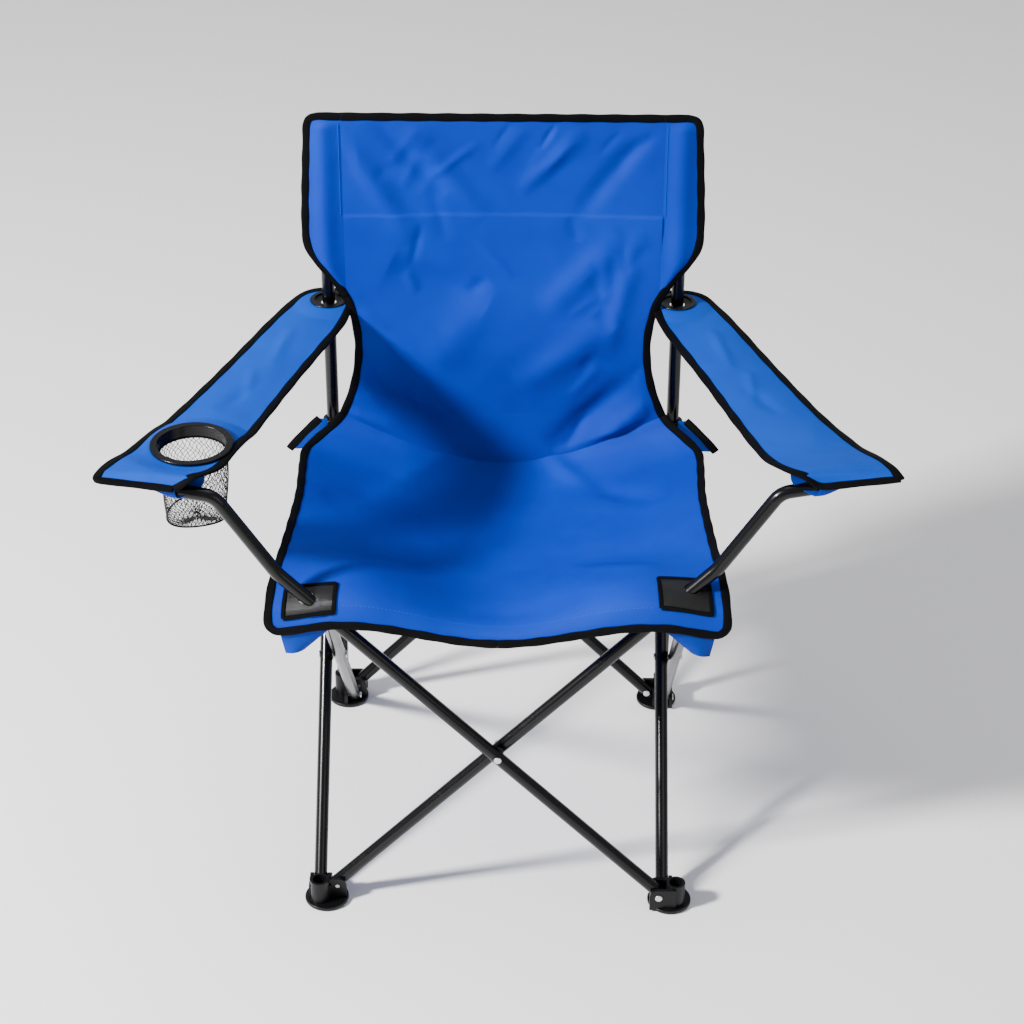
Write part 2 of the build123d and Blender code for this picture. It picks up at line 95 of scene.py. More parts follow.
# ------------------------------------------------------------------ surfaces and meshes
def smooth_line(points: Array, count: int) -> Array:
    """A smooth line through points, evenly spaced along its length.

    Catmull-Rom: between two points the line is the cubic whose end slopes are half the difference
    of the neighbouring points; it is then resampled by arc length.

    Args:
        points: The points to pass through, one per row.
        count: How many points to return.

    Returns:
        The line's points, one per row.
    """
    pts = np.asarray(points, float)
    ends = np.vstack([2 * pts[0] - pts[1], pts, 2 * pts[-1] - pts[-2]])
    t = np.linspace(0, 1, SPLINE_STEPS, endpoint=False)[:, None]
    p0, p1, p2, p3 = ends[:-3], ends[1:-2], ends[2:-1], ends[3:]
    cubic = [
        0.5 * (2 * b + (c - a) * t + (2 * a - 5 * b + 4 * c - d) * t**2 + (3 * b - a - 3 * c + d) * t**3)
        for a, b, c, d in zip(p0, p1, p2, p3)
    ]
    fine = np.vstack(cubic + [pts[-1:]])
    return resample(fine, count)


def resample(line: Array, count: int, carried: Array | None = None) -> Array:
    """The same line with evenly spaced points, or what it carries at those places.

    Args:
        line: The line's points, one per row.
        count: How many points to return.
        carried: Values that go with the line's points, such as surface normals.

    Returns:
        The evenly spaced points, or the carried values there.
    """
    step = np.linalg.norm(np.diff(line, axis=0), axis=1)
    run = np.concatenate([[0], np.cumsum(step)])
    want = np.linspace(0, run[-1], count)
    values = line if carried is None else carried
    return np.column_stack([np.interp(want, run, values[:, k]) for k in range(values.shape[1])])


def soften(line: Array, reach: int) -> Array:
    """A line with each inner point at the mean of its neighbours up to reach places away."""
    padded = np.vstack([np.repeat(line[:1], reach, axis=0), line, np.repeat(line[-1:], reach, axis=0)])
    padded[:reach] = 2 * line[0] - line[reach:0:-1]
    padded[-reach:] = 2 * line[-1] - line[-2:-reach - 2:-1]
    total = np.cumsum(np.vstack([np.zeros((1, line.shape[1])), padded]), axis=0)
    width = 2 * reach + 1
    return (total[width:] - total[:-width]) / width


def smooth_step(t: Array) -> Array:
    """0 below 0, 1 above 1, and 3 t^2 - 2 t^3 between."""
    t = np.clip(t, 0, 1)
    return t * t * (3 - 2 * t)


def unit(vectors: Array) -> Array:
    """Each vector at length one."""
    return vectors / np.maximum(np.linalg.norm(vectors, axis=-1, keepdims=True), 1e-12)


def bell(t: Array) -> Array:
    """exp(-t^2): 1 at 0, fading both ways."""
    return np.exp(-(t**2))


def grid_normals(grid: Array) -> Array:
    """Unit normals of a grid of points, from the cross product of its two directions."""
    along = np.gradient(grid, axis=0)
    across = np.gradient(grid, axis=1)
    return unit(np.cross(across, along))


def grid_uv(grid: Array) -> Array:
    """Cloth coordinates in metres: arc length across from the middle column, and along."""
    across = np.linalg.norm(np.diff(grid, axis=1), axis=2)
    along = np.linalg.norm(np.diff(grid, axis=0), axis=2)
    u = np.concatenate([np.zeros((grid.shape[0], 1)), np.cumsum(across, axis=1)], axis=1)
    v = np.concatenate([np.zeros((1, grid.shape[1])), np.cumsum(along, axis=0)], axis=0)
    u -= u[:, u.shape[1] // 2][:, None]
    return np.dstack([u, v])


def grid_faces(rows: int, cols: int, wrap: bool = False) -> Array:
    """Quads of a grid, the columns joined round when wrap is true."""
    r = np.arange(rows - 1)[:, None]
    c = np.arange(cols if wrap else cols - 1)[None, :]
    nxt = (c + 1) % cols
    quads = np.stack([r * cols + c, r * cols + nxt, (r + 1) * cols + nxt, (r + 1) * cols + c], axis=-1)
    return quads.reshape(-1, 4)


def new_piece(name: str, verts: Array, faces: list, uv: Array | None = None) -> bpy.types.Object:
    """A mesh object at the origin, smooth, with a UV map where uv gives one pair per vertex.

    Args:
        name: The object's name.
        verts: Vertex places, one per row.
        faces: Vertex numbers of each face.
        uv: Cloth coordinates per vertex, or None.

    Returns:
        The new object, linked to the scene.
    """
    mesh = bpy.data.meshes.new(name)
    faces = [tuple(int(i) for i in f) for f in faces]
    mesh.from_pydata([tuple(v) for v in np.asarray(verts, float)], [], faces)
    if uv is not None:
        layer = mesh.uv_layers.new(name="cloth")
        loops = np.empty(len(mesh.loops), dtype=np.int32)
        mesh.loops.foreach_get("vertex_index", loops)
        layer.data.foreach_set("uv", np.asarray(uv, float)[loops].astype(np.float32).ravel())
    mesh.shade_smooth()
    mesh.validate()
    obj = bpy.data.objects.new(name, mesh)
    bpy.context.scene.collection.objects.link(obj)
    return obj


def tube_rings(path: Array, up: Array, half: tuple[float, float], count: int, power: float) -> Array:
    """Rings of a rounded oblong section carried along a path.

    At angle t the section stands half[0]*|cos t|^power across and half[1]*|sin t|^power along the
    surface normal, with the signs of cos and sin; power below one squares the section off.

    Args:
        path: Centre line, one point per row.
        up: Surface normal at each point.
        half: Half width and half thickness.
        count: Points round the section.
        power: The section's squareness.

    Returns:
        Points shaped (path, count, 3).
    """
    tangent = unit(np.gradient(path, axis=0))
    cross = unit(np.cross(tangent, up))
    normal = unit(np.cross(cross, tangent))
    t = np.linspace(0, FULL_TURN, count, endpoint=False)
    a = np.sign(np.cos(t)) * np.abs(np.cos(t)) ** power * half[0]
    b = np.sign(np.sin(t)) * np.abs(np.sin(t)) ** power * half[1]
    return path[:, None] + a[None, :, None] * cross[:, None] + b[None, :, None] * normal[:, None]


def rings_piece(name: str, rings: Array) -> bpy.types.Object:
    """A closed tube from its rings, capped with a centre point at each end.

    Args:
        name: The object's name.
        rings: Points shaped (rings, round, 3).

    Returns:
        The object.
    """
    rows, cols = rings.shape[:2]
    mid = rings.mean(axis=1)
    run = np.concatenate([[0], np.cumsum(np.linalg.norm(np.diff(mid, axis=0), axis=1))])
    girth = np.linalg.norm(rings[0] - np.roll(rings[0], 1, axis=0), axis=1).sum()
    uv = np.dstack(np.meshgrid(np.linspace(0, girth, cols), run)).reshape(-1, 2)
    verts = rings.reshape(-1, 3)
    low, high = len(verts), len(verts) + 1
    verts = np.vstack([verts, mid[:1], mid[-1:]])
    uv = np.vstack([uv, uv[:1], uv[-1:]])
    last = (rows - 1) * cols
    faces = list(grid_faces(rows, cols, wrap=True))
    faces += [((i + 1) % cols, i, low) for i in range(cols)]
    faces += [(last + i, last + (i + 1) % cols, high) for i in range(cols)]
    return new_piece(name, verts, faces, uv)


def punch(grid: Array, point: Array, direction: Array, radius: float) -> tuple[Array, Array]:
    """Makes room for a round hole in a grid.

    Points whose distance from the hole's axis is within three quarters of a cell of the radius
    move straight out or in until they lie on it; the points nearer than that are inside the hole.

    Args:
        grid: The surface's points.
        point: A point on the hole's axis.
        direction: The axis.
        radius: The hole's radius.

    Returns:
        The moved grid, and a mask of the vertices inside the hole.
    """
    axis = unit(np.asarray(direction, float))
    rel = grid - point
    off = rel - (rel @ axis)[..., None] * axis
    dist = np.linalg.norm(off, axis=-1)
    cell = np.linalg.norm(np.diff(grid, axis=0), axis=2).mean()
    near = np.abs(dist - radius) < 0.75 * cell
    moved = grid + np.where(near[..., None], unit(off) * (radius - dist)[..., None], 0)
    return moved, (dist < radius) & ~near


def sheet_piece(name: str, grid: Array, thick: float, inside: Array | None = None) -> bpy.types.Object:
    """A cloth sheet: the grid as quads, given its thickness by a live Solidify.

    Args:
        name: The object's name.
        grid: Points shaped (along, across, 3).
        thick: Cloth thickness.
        inside: Mask of the vertices in holes, or None.

    Returns:
        The object.
    """
    rows, cols = grid.shape[:2]
    faces = grid_faces(rows, cols)
    if inside is not None:
        flat = inside.ravel()
        faces = faces[~flat[faces].any(axis=1)]
    uv = grid_uv(grid).reshape(-1, 2)
    used = np.unique(faces)
    renumber = np.full(rows * cols, -1)
    renumber[used] = np.arange(len(used))
    obj = new_piece(name, grid.reshape(-1, 3)[used], list(renumber[faces]), uv[used])
    thicken(obj, thick)
    return obj


def thicken(obj: bpy.types.Object, thick: float) -> None:
    """Gives a surface its thickness, half to each side, by a Solidify."""
    wall = obj.modifiers.new("cloth", "SOLIDIFY")
    wall.thickness = thick
    wall.offset = 0


def declare_sheet(grid: Array) -> None:
    """Works out a sheet's cloth coordinates and area from its grid, and keeps neither.

    Args:
        grid: Its points.
    """
    uv = grid_uv(grid)
    a, b = grid[1:, :-1] - grid[:-1, :-1], grid[:-1, 1:] - grid[:-1, :-1]
    c, d = grid[:-1, 1:] - grid[1:, 1:], grid[1:, :-1] - grid[1:, 1:]
    area = 0.5 * float(np.linalg.norm(np.cross(a, b), axis=2).sum())
    area += 0.5 * float(np.linalg.norm(np.cross(c, d), axis=2).sum())


# ------------------------------------------------------------------ shader groups
class Group:
    """Builds one shader node group with named sockets."""

    def __init__(self, name: str) -> None:
        """Starts an empty group."""
        self.tree = bpy.data.node_groups.new(name, "ShaderNodeTree")
        self.entry = self.tree.nodes.new("NodeGroupInput")
        self.exit = self.tree.nodes.new("NodeGroupOutput")

    def socket(self, name: str, kind: str, out: bool = False, value: float | None = None) -> None:
        """Adds a socket; kind is Float, Vector or Color."""
        way = "OUTPUT" if out else "INPUT"
        made = self.tree.interface.new_socket(name, in_out=way, socket_type=f"NodeSocket{kind}")
        if value is not None:
            made.default_value = value

    def node(self, kind: str, **settings: object) -> bpy.types.Node:
        """Adds a node and sets its properties."""
        return add_node(self.tree, kind, **settings)

    def join(self, start: bpy.types.NodeSocket, end: bpy.types.NodeSocket) -> None:
        """Links two sockets."""
        self.tree.links.new(start, end)


def add_node(tree: bpy.types.NodeTree, kind: str, **settings: object) -> bpy.types.Node:
    """Adds a shader node to a tree.

    Args:
        tree: The node tree.
        kind: The node type without its ShaderNode prefix.
        settings: Properties, and input values by lower-case name with an in_ prefix.

    Returns:
        The node.
    """
    node = tree.nodes.new("ShaderNode" + kind)
    for key, value in settings.items():
        if key.startswith("in_"):
            wanted = key[3:]
            slot = next(s for s in node.inputs if s.name.lower().replace(" ", "_") == wanted)
            slot.default_value = value
        else:
            setattr(node, key, value)
    return node


def weave_group() -> bpy.types.NodeTree:
    """Plain weave: two crossed sine waves of the cloth coordinates, their product as height."""
    g = Group("plain_weave")
    g.socket("Coordinates", "Vector")
    g.socket("Threads per metre", "Float", value=1400.0)
    g.socket("Height", "Float", out=True)
    split = g.node("SeparateXYZ")
    g.join(g.entry.outputs["Coordinates"], split.inputs[0])
    waves = []
    for axis in ("X", "Y"):
        scale = g.node("Math", operation="MULTIPLY")
        g.join(split.outputs[axis], scale.inputs[0])
        g.join(g.entry.outputs["Threads per metre"], scale.inputs[1])
        turn = g.node("Math", operation="MULTIPLY")
        turn.inputs[1].default_value = FULL_TURN
        g.join(scale.outputs[0], turn.inputs[0])
        wave = g.node("Math", operation="SINE")
        g.join(turn.outputs[0], wave.inputs[0])
        waves.append(wave)
    product = g.node("Math", operation="MULTIPLY")
    g.join(waves[0].outputs[0], product.inputs[0])
    g.join(waves[1].outputs[0], product.inputs[1])
    lift = g.node("Math", operation="MULTIPLY_ADD")
    lift.inputs[1].default_value = 0.5
    lift.inputs[2].default_value = 0.5
    g.join(product.outputs[0], lift.inputs[0])
    g.join(lift.outputs[0], g.exit.inputs["Height"])
    return g.tree


def crumple_group() -> bpy.types.NodeTree:
    """Soft handling creases: warped noise, with a broad shade and a fine height."""
    g = Group("handling_creases")
    g.socket("Coordinates", "Vector")
    g.socket("Scale", "Float", value=9.0)
    g.socket("Shade", "Float", out=True)
    g.socket("Height", "Float", out=True)
    warp = g.node("TexNoise", in_scale=6.0, in_detail=2.0)
    g.join(g.entry.outputs["Coordinates"], warp.inputs["Vector"])
    push = g.node("VectorMath", operation="MULTIPLY_ADD")
    push.inputs[1].default_value = (0.06, 0.06, 0.06)
    g.join(warp.outputs["Color"], push.inputs[0])
    g.join(g.entry.outputs["Coordinates"], push.inputs[2])
    broad = g.node("TexNoise", in_detail=3.0, in_roughness=0.55)
    g.join(push.outputs[0], broad.inputs["Vector"])
    g.join(g.entry.outputs["Scale"], broad.inputs["Scale"])
    g.join(broad.outputs["Fac"], g.exit.inputs["Shade"])
    fine = g.node("TexNoise", noise_type="RIDGED_MULTIFRACTAL", in_scale=14.0, in_detail=3.0)
    g.join(push.outputs[0], fine.inputs["Vector"])
    g.join(fine.outputs["Fac"], g.exit.inputs["Height"])
    return g.tree


def scuff_group() -> bpy.types.NodeTree:
    """Handling wear: sparse specks and rubbed patches as one mask."""
    g = Group("rubbed_marks")
    g.socket("Coordinates", "Vector")
    g.socket("Amount", "Float", value=0.4)
    g.socket("Mask", "Float", out=True)
    cloud = g.node("TexNoise", in_scale=22.0, in_detail=4.0)
    speck = g.node("TexNoise", in_scale=420.0, in_detail=2.0)
    for tex in (cloud, speck):
        g.join(g.entry.outputs["Coordinates"], tex.inputs["Vector"])
    both = g.node("Math", operation="MULTIPLY")
    g.join(cloud.outputs["Fac"], both.inputs[0])
    g.join(speck.outputs["Fac"], both.inputs[1])
    edge = g.node("MapRange", in_from_min=0.27, in_from_max=0.42)
    g.join(both.outputs[0], edge.inputs["Value"])
    scaled = g.node("Math", operation="MULTIPLY")
    g.join(edge.outputs["Result"], scaled.inputs[0])
    g.join(g.entry.outputs["Amount"], scaled.inputs[1])
    g.join(scaled.outputs[0], g.exit.inputs["Mask"])
    return g.tree


@dataclass
class Shelf:
    """The shader groups that the finishes share, each built once."""

    weave: bpy.types.NodeTree = field(default_factory=weave_group)
    crumple: bpy.types.NodeTree = field(default_factory=crumple_group)
    scuff: bpy.types.NodeTree = field(default_factory=scuff_group)


class Paint:
    """A new material with one Principled shader and helpers for its inputs."""

    def __init__(self, name: str, roughness: float, metallic: float = 0.0) -> None:
        """Starts the material with its constant values on the shader's own sockets."""
        self.material = bpy.data.materials.new(name)
        self.material.use_nodes = True
        self.tree = self.material.node_tree
        self.shader = self.tree.nodes["Principled BSDF"]
        self.set("Roughness", roughness)
        self.set("Metallic", metallic)
        self.coords = add_node(self.tree, "TexCoord")

    def set(self, socket: str, value: object) -> None:
        """Sets a constant on the shader's own socket."""
        self.shader.inputs[socket].default_value = value

    def place(self, tree: bpy.types.NodeTree, source: str, **values: float) -> bpy.types.Node:
        """Places a shared group, fed with Object or UV coordinates."""
        node = self.tree.nodes.new("ShaderNodeGroup")
        node.node_tree = tree
        self.link(self.coords.outputs[source], node.inputs["Coordinates"])
        for key, value in values.items():
            node.inputs[key.replace("_", " ")].default_value = value
        return node

    def link(self, start: bpy.types.NodeSocket, end: bpy.types.NodeSocket) -> None:
        """Links two sockets."""
        self.tree.links.new(start, end)

    def mix(self, mask: bpy.types.NodeSocket, low: tuple, high: tuple) -> bpy.types.NodeSocket:
        """A colour that runs from low to high with a mask."""
        node = add_node(self.tree, "Mix", data_type="RGBA")
        self.link(mask, node.inputs["Factor"])
        colours = [s for s in node.inputs if s.type == "RGBA"]
        colours[0].default_value = (*low, 1)
        colours[1].default_value = (*high, 1)
        return next(s for s in node.outputs if s.type == "RGBA")

    def range(self, value: bpy.types.NodeSocket, low: float, high: float) -> bpy.types.NodeSocket:
        """A number that runs from low to high as value runs from 0 to 1."""
        node = add_node(self.tree, "MapRange", in_to_min=low, in_to_max=high)
        self.link(value, node.inputs["Value"])
        return node.outputs["Result"]

    def bump(self, heights: list[tuple[bpy.types.NodeSocket, float]]) -> None:
        """Chains one Bump per height, each with its depth in metres, into Normal."""
        target = self.shader.inputs["Normal"]
        for height, depth in reversed(heights):
            node = add_node(self.tree, "Bump", in_distance=depth)
            self.link(height, node.inputs["Height"])
            self.link(node.outputs["Normal"], target)
            target = node.inputs["Normal"]


@dataclass(frozen=True)
class WovenCloth:
    """A coated polyester cloth: plain weave, soft creases and paler worn parts."""

    name: str
    colour: tuple[float, float, float]
    faded: tuple[float, float, float]
    threads: float = 1400.0
    roughness: float = 0.5
    specular: float = 0.09
    weave_depth: float = 0.00012
    crease_depth: float = 0.0022
    shade_span: tuple[float, float] = (-0.15, 1.15)
    rough_span: tuple[float, float] = (0.12, -0.1)

    def make(self, shelf: Shelf) -> bpy.types.Material:
        """Builds the material."""
        paint = Paint(self.name, self.roughness)
        paint.set("Specular IOR Level", self.specular)
        creases = paint.place(shelf.crumple, "Object")
        weave = paint.place(shelf.weave, "UV", Threads_per_metre=self.threads)
        shade = paint.range(creases.outputs["Shade"], *self.shade_span)
        paint.link(paint.mix(shade, self.colour, self.faded), paint.shader.inputs["Base Color"])
        dull, slick = (self.roughness + part for part in self.rough_span)
        rough = paint.range(creases.outputs["Shade"], dull, slick)
        paint.link(rough, paint.shader.inputs["Roughness"])
        folds = (creases.outputs["Height"], self.crease_depth)
        paint.bump([folds, (weave.outputs["Height"], self.weave_depth)])
        return paint.material


@dataclass(frozen=True)
class Coating:
    """A hard finish: paint, moulded plastic or metal, with rubbed marks and fine grain."""

    name: str
    colour: tuple[float, float, float]
    worn: tuple[float, float, float]
    roughness: float
    metallic: float = 0.0
    coat: float = 0.0
    coat_roughness: float = 0.08
    specular: float = 0.22
    grain_scale: float = 900.0
    grain_depth: float = 0.00004
    wear: float = 0.4
    worn_roughness: float = 0.3

    def make(self, shelf: Shelf) -> bpy.types.Material:
        """Builds the material."""
        paint = Paint(self.name, self.roughness, self.metallic)
        paint.set("Coat Weight", self.coat)
        paint.set("Coat Roughness", self.coat_roughness)
        paint.set("Specular IOR Level", self.specular)
        marks = paint.place(shelf.scuff, "Object", Amount=self.wear)
        colour = paint.mix(marks.outputs["Mask"], self.colour, self.worn)
        paint.link(colour, paint.shader.inputs["Base Color"])
        worn = min(1.0, self.roughness + self.worn_roughness)
        rough = paint.range(marks.outputs["Mask"], self.roughness, worn)
        paint.link(rough, paint.shader.inputs["Roughness"])
        grain = add_node(paint.tree, "TexNoise", in_scale=self.grain_scale, in_detail=2.0)
        paint.link(paint.coords.outputs["Object"], grain.inputs["Vector"])
        paint.bump([(grain.outputs["Fac"], self.grain_depth)])
        return paint.material


class Finishes:
    """Every finish on the chair, made once."""

    def __init__(self) -> None:
        """Builds the shared groups and the materials."""
        shelf = Shelf()
        blue = WovenCloth("blue_polyester", (0.0, 0.020, 0.28), (0.0, 0.036, 0.37))
        # A darker copy of the blue cloth: painted shade on the armrest's under layer and on the flaps below
        # the seat's corners.
        lining = WovenCloth("blue_lining", (0.0, 0.020, 0.22), (0.0, 0.030, 0.28), roughness=0.42)
        tape = WovenCloth("black_tape", (0.0006, 0.0006, 0.0008), (0.003, 0.003, 0.0035), threads=900,
                          roughness=0.6, specular=0.05, weave_depth=0.0003, crease_depth=0.0002)
        vinyl = WovenCloth("black_vinyl", (0.002, 0.002, 0.002), (0.006, 0.006, 0.006), threads=700,
                           roughness=0.3, specular=0.3, weave_depth=0.0002, crease_depth=0.0015)
        thread = WovenCloth("blue_thread", (0.0, 0.055, 0.38), (0.0, 0.08, 0.46), threads=3000)
        # The armrest's copy of the blue cloth is paler: painted light on its top, where the light falls.
        light = WovenCloth("blue_armrest", (0.0, 0.040, 0.32), (0.0, 0.060, 0.41))
        self.blue = blue.make(shelf)
        self.light = light.make(shelf)
        self.lining = lining.make(shelf)
        self.tape = tape.make(shelf)
        self.vinyl = vinyl.make(shelf)
        self.thread = thread.make(shelf)
        self.net = Coating("net_yarn", (0.012, 0.012, 0.013), (0.05, 0.05, 0.05), 0.6).make(shelf)
        tube = Coating("tube_paint", (0.0015, 0.0015, 0.0018), (0.008, 0.008, 0.008), 0.24,
                       coat=0.16, specular=0.18, grain_depth=0.000008, wear=0.25)
        foot = Coating("foot_polymer", (0.003, 0.003, 0.0035), (0.016, 0.016, 0.016), 0.36,
                       grain_depth=0.00008, wear=0.5)
        gloss = Coating("ring_polymer", (0.003, 0.003, 0.0035), (0.016, 0.016, 0.016), 0.24, wear=0.35)
        steel = Coating("rivet_zinc", (0.62, 0.62, 0.6), (0.36, 0.36, 0.35), 0.28, metallic=1.0)
        nylon = Coating("washer_nylon", (0.05, 0.05, 0.05), (0.09, 0.09, 0.09), 0.5)
        self.frame = {
            "tube_steel": tube.make(shelf), "foot_plastic": foot.make(shelf),
            "cup_ring_plastic": gloss.make(shelf), "rivet_steel": steel.make(shelf),
            "washer_nylon": nylon.make(shelf),
        }
        self.frame["joint_plastic"] = self.frame["foot_plastic"]
        self.frame["cap_plastic"] = self.frame["foot_plastic"]
        self.frame["eyelet_plastic"] = self.frame["cup_ring_plastic"]

    def dress_frame(self, nodes: dict, record: dict) -> None:
        """Gives each frame node that stays the finish of its record slot.

        Args:
            nodes: The frame's node objects by name.
            record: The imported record.
        """
        slots = {row["node"]: row["material_slot"] for row in record["subparts"]}
        for name, obj in nodes.items():
            finish = self.frame.get(slots.get(name, ""))
            if finish is None:
                continue
            if not obj.material_slots:
                obj.data.materials.append(finish)
            for slot in obj.material_slots:
                slot.material = finish


# ------------------------------------------------------------------ fabric pieces
@dataclass
class Hold:
    """How a soft piece follows the frame: the body it rides on and the way it is pressed together."""

    body: str
    axis: tuple[float, float, float] | None = None
    anchor: tuple[float, float, float] = (0.0, 0.0, 0.0)
    keep: float = 0.3

    def take(self, obj: bpy.types.Object) -> None:
        """Lets the finished piece ride on its body, and gives a piece with a fold axis its own copy of the
        mesh.
        """
        bake_modifiers(obj)
        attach(obj, self.body)
        if self.axis is not None:
            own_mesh(obj)


def bake_modifiers(obj: bpy.types.Object) -> None:
    """Applies a piece's modifiers to its mesh."""
    if not obj.modifiers:
        return
    graph = bpy.context.evaluated_depsgraph_get()
    mesh = bpy.data.meshes.new_from_object(obj.evaluated_get(graph))
    obj.modifiers.clear()
    mesh.set_sharp_from_angle(angle=math.radians(SHARP_EDGE_DEG))
    obj.data = mesh


@dataclass
class Tailor:
    """Sews pieces: sheets, bound edges and rows of stitches, all dressed."""

    finishes: Finishes
    cloth: float = 0.0012
    tape_half: tuple[float, float] = (0.0052, 0.0019)
    tape_sides: int = 14
    tape_squareness: float = 0.62
    tape_wobble: float = 0.06
    wobble_step: float = 3.1
    stitch: float = 0.0032
    gap: float = 0.0017
    gauge: float = 0.00045
    stitch_sides: int = 6
    stitch_bow: tuple = (-0.2, 0.8, 1.0, 0.8, -0.2)

    def finish(self, obj: bpy.types.Object, material: bpy.types.Material, slot: str, hold: Hold) -> None:
        """Gives a piece its material and its hold on the frame."""
        obj.data.materials.clear()
        obj.data.materials.append(material)
        hold.take(obj)
        LOG.info("piece %s on %s", obj.name, hold.body)

    def bind(self, name: str, path: Array, normals: Array, hold: Hold) -> None:
        """Black binding tape folded over an edge: a squared oval carried along it.

        Its size changes by a small sine along the path, as a hand-fed tape does.

        Args:
            name: The piece's name.
            path: The edge, one point per row.
            normals: The cloth's normal at each point.
            hold: What it rides on.
        """
        wave = np.sin(np.linspace(0, len(path) / self.wobble_step, len(path)))
        wobble = 1 + self.tape_wobble * wave[:, None, None]
        rings = tube_rings(path, normals, self.tape_half, self.tape_sides, self.tape_squareness)
        obj = rings_piece(name, path[:, None] + (rings - path[:, None]) * wobble)
        self.finish(obj, self.finishes.tape, "binding_tape", hold)

    def sew(self, name: str, path: Array, normals: Array, hold: Hold) -> None:
        """A row of stitches: short six-sided bars that dip into the cloth at both ends.

        Args:
            name: The piece's name.
            path: The seam, one point per row.
            normals: The cloth's normal at each point.
            hold: What it rides on.
        """
        length = np.linalg.norm(np.diff(path, axis=0), axis=1).sum()
        count = max(2, int(length / (self.stitch + self.gap)))
        rows, sides = len(self.stitch_bow), self.stitch_sides
        step = rows + 1
        fine = resample(path, count * step)
        lift = resample(path, count * step, normals)
        bow = np.array(self.stitch_bow)[:, None] * self.gauge
        caps = [tuple(range(sides - 1, -1, -1)), tuple((rows - 1) * sides + i for i in range(sides))]
        bar = [tuple(f) for f in grid_faces(rows, sides, wrap=True)] + caps
        verts, faces = [], []
        for k in range(count):
            part = slice(k * step, k * step + rows)
            line = fine[part] + bow * lift[part]
            rings = tube_rings(line, lift[part], (self.gauge, self.gauge), sides, 1.0)
            verts.append(rings.reshape(-1, 3))
            faces += [tuple(i + k * rows * sides for i in face) for face in bar]
        obj = new_piece(name, np.vstack(verts), faces)
        self.finish(obj, self.finishes.thread, "cloth_blue", hold)


@dataclass(frozen=True)
class Crease:
    """One soft fold in cloth coordinates: a ridge or valley along a line, fading at its ends."""

    start: tuple[float, float]
    end: tuple[float, float]
    height: float
    width: float


def crease_height(uv: Array, creases: tuple[Crease, ...]) -> Array:
    """Sum of the creases: height times a bell across the line times a half sine along it."""
    total = np.zeros(uv.shape[:2])
    for fold in creases:
        a, b = np.array(fold.start), np.array(fold.end)
        run = b - a
        size = np.linalg.norm(run)
        t = np.clip(((uv - a) @ run) / size**2, 0, 1)
        away = ((uv - a) @ np.array([-run[1], run[0]])) / size
        total += fold.height * bell(away / fold.width) * np.sin(HALF_TURN * t) ** 0.8
    return total


def small_creases() -> tuple[Crease, ...]:
    """Short sharp creases scattered over the back, steeper at the top and fanned at the foot."""
    rng = np.random.default_rng(7)
    zones = (
        (15, (-0.18, 0.18), (0.345, 0.43), (0.6, 1.2)), (14, (-0.15, 0.17), (0.16, 0.33), (0.2, 2.6)),
        (8, (0.06, 0.18), (0.01, 0.14), (0.5, 1.1)), (8, (-0.18, -0.06), (0.01, 0.14), (2.0, 2.7)),
    )
    found = []
    for count, across, up, angles in zones:
        for _ in range(count):
            x, z = rng.uniform(*across), rng.uniform(*up)
            turn, length = rng.uniform(*angles), rng.uniform(0.03, 0.085)
            end = (x + length * math.cos(turn), z + length * math.sin(turn))
            height = rng.choice([-1.0, 1.0]) * rng.uniform(0.0006, 0.0017)
            found.append(Crease((x, z), end, height, rng.uniform(0.004, 0.009)))
    return tuple(found)


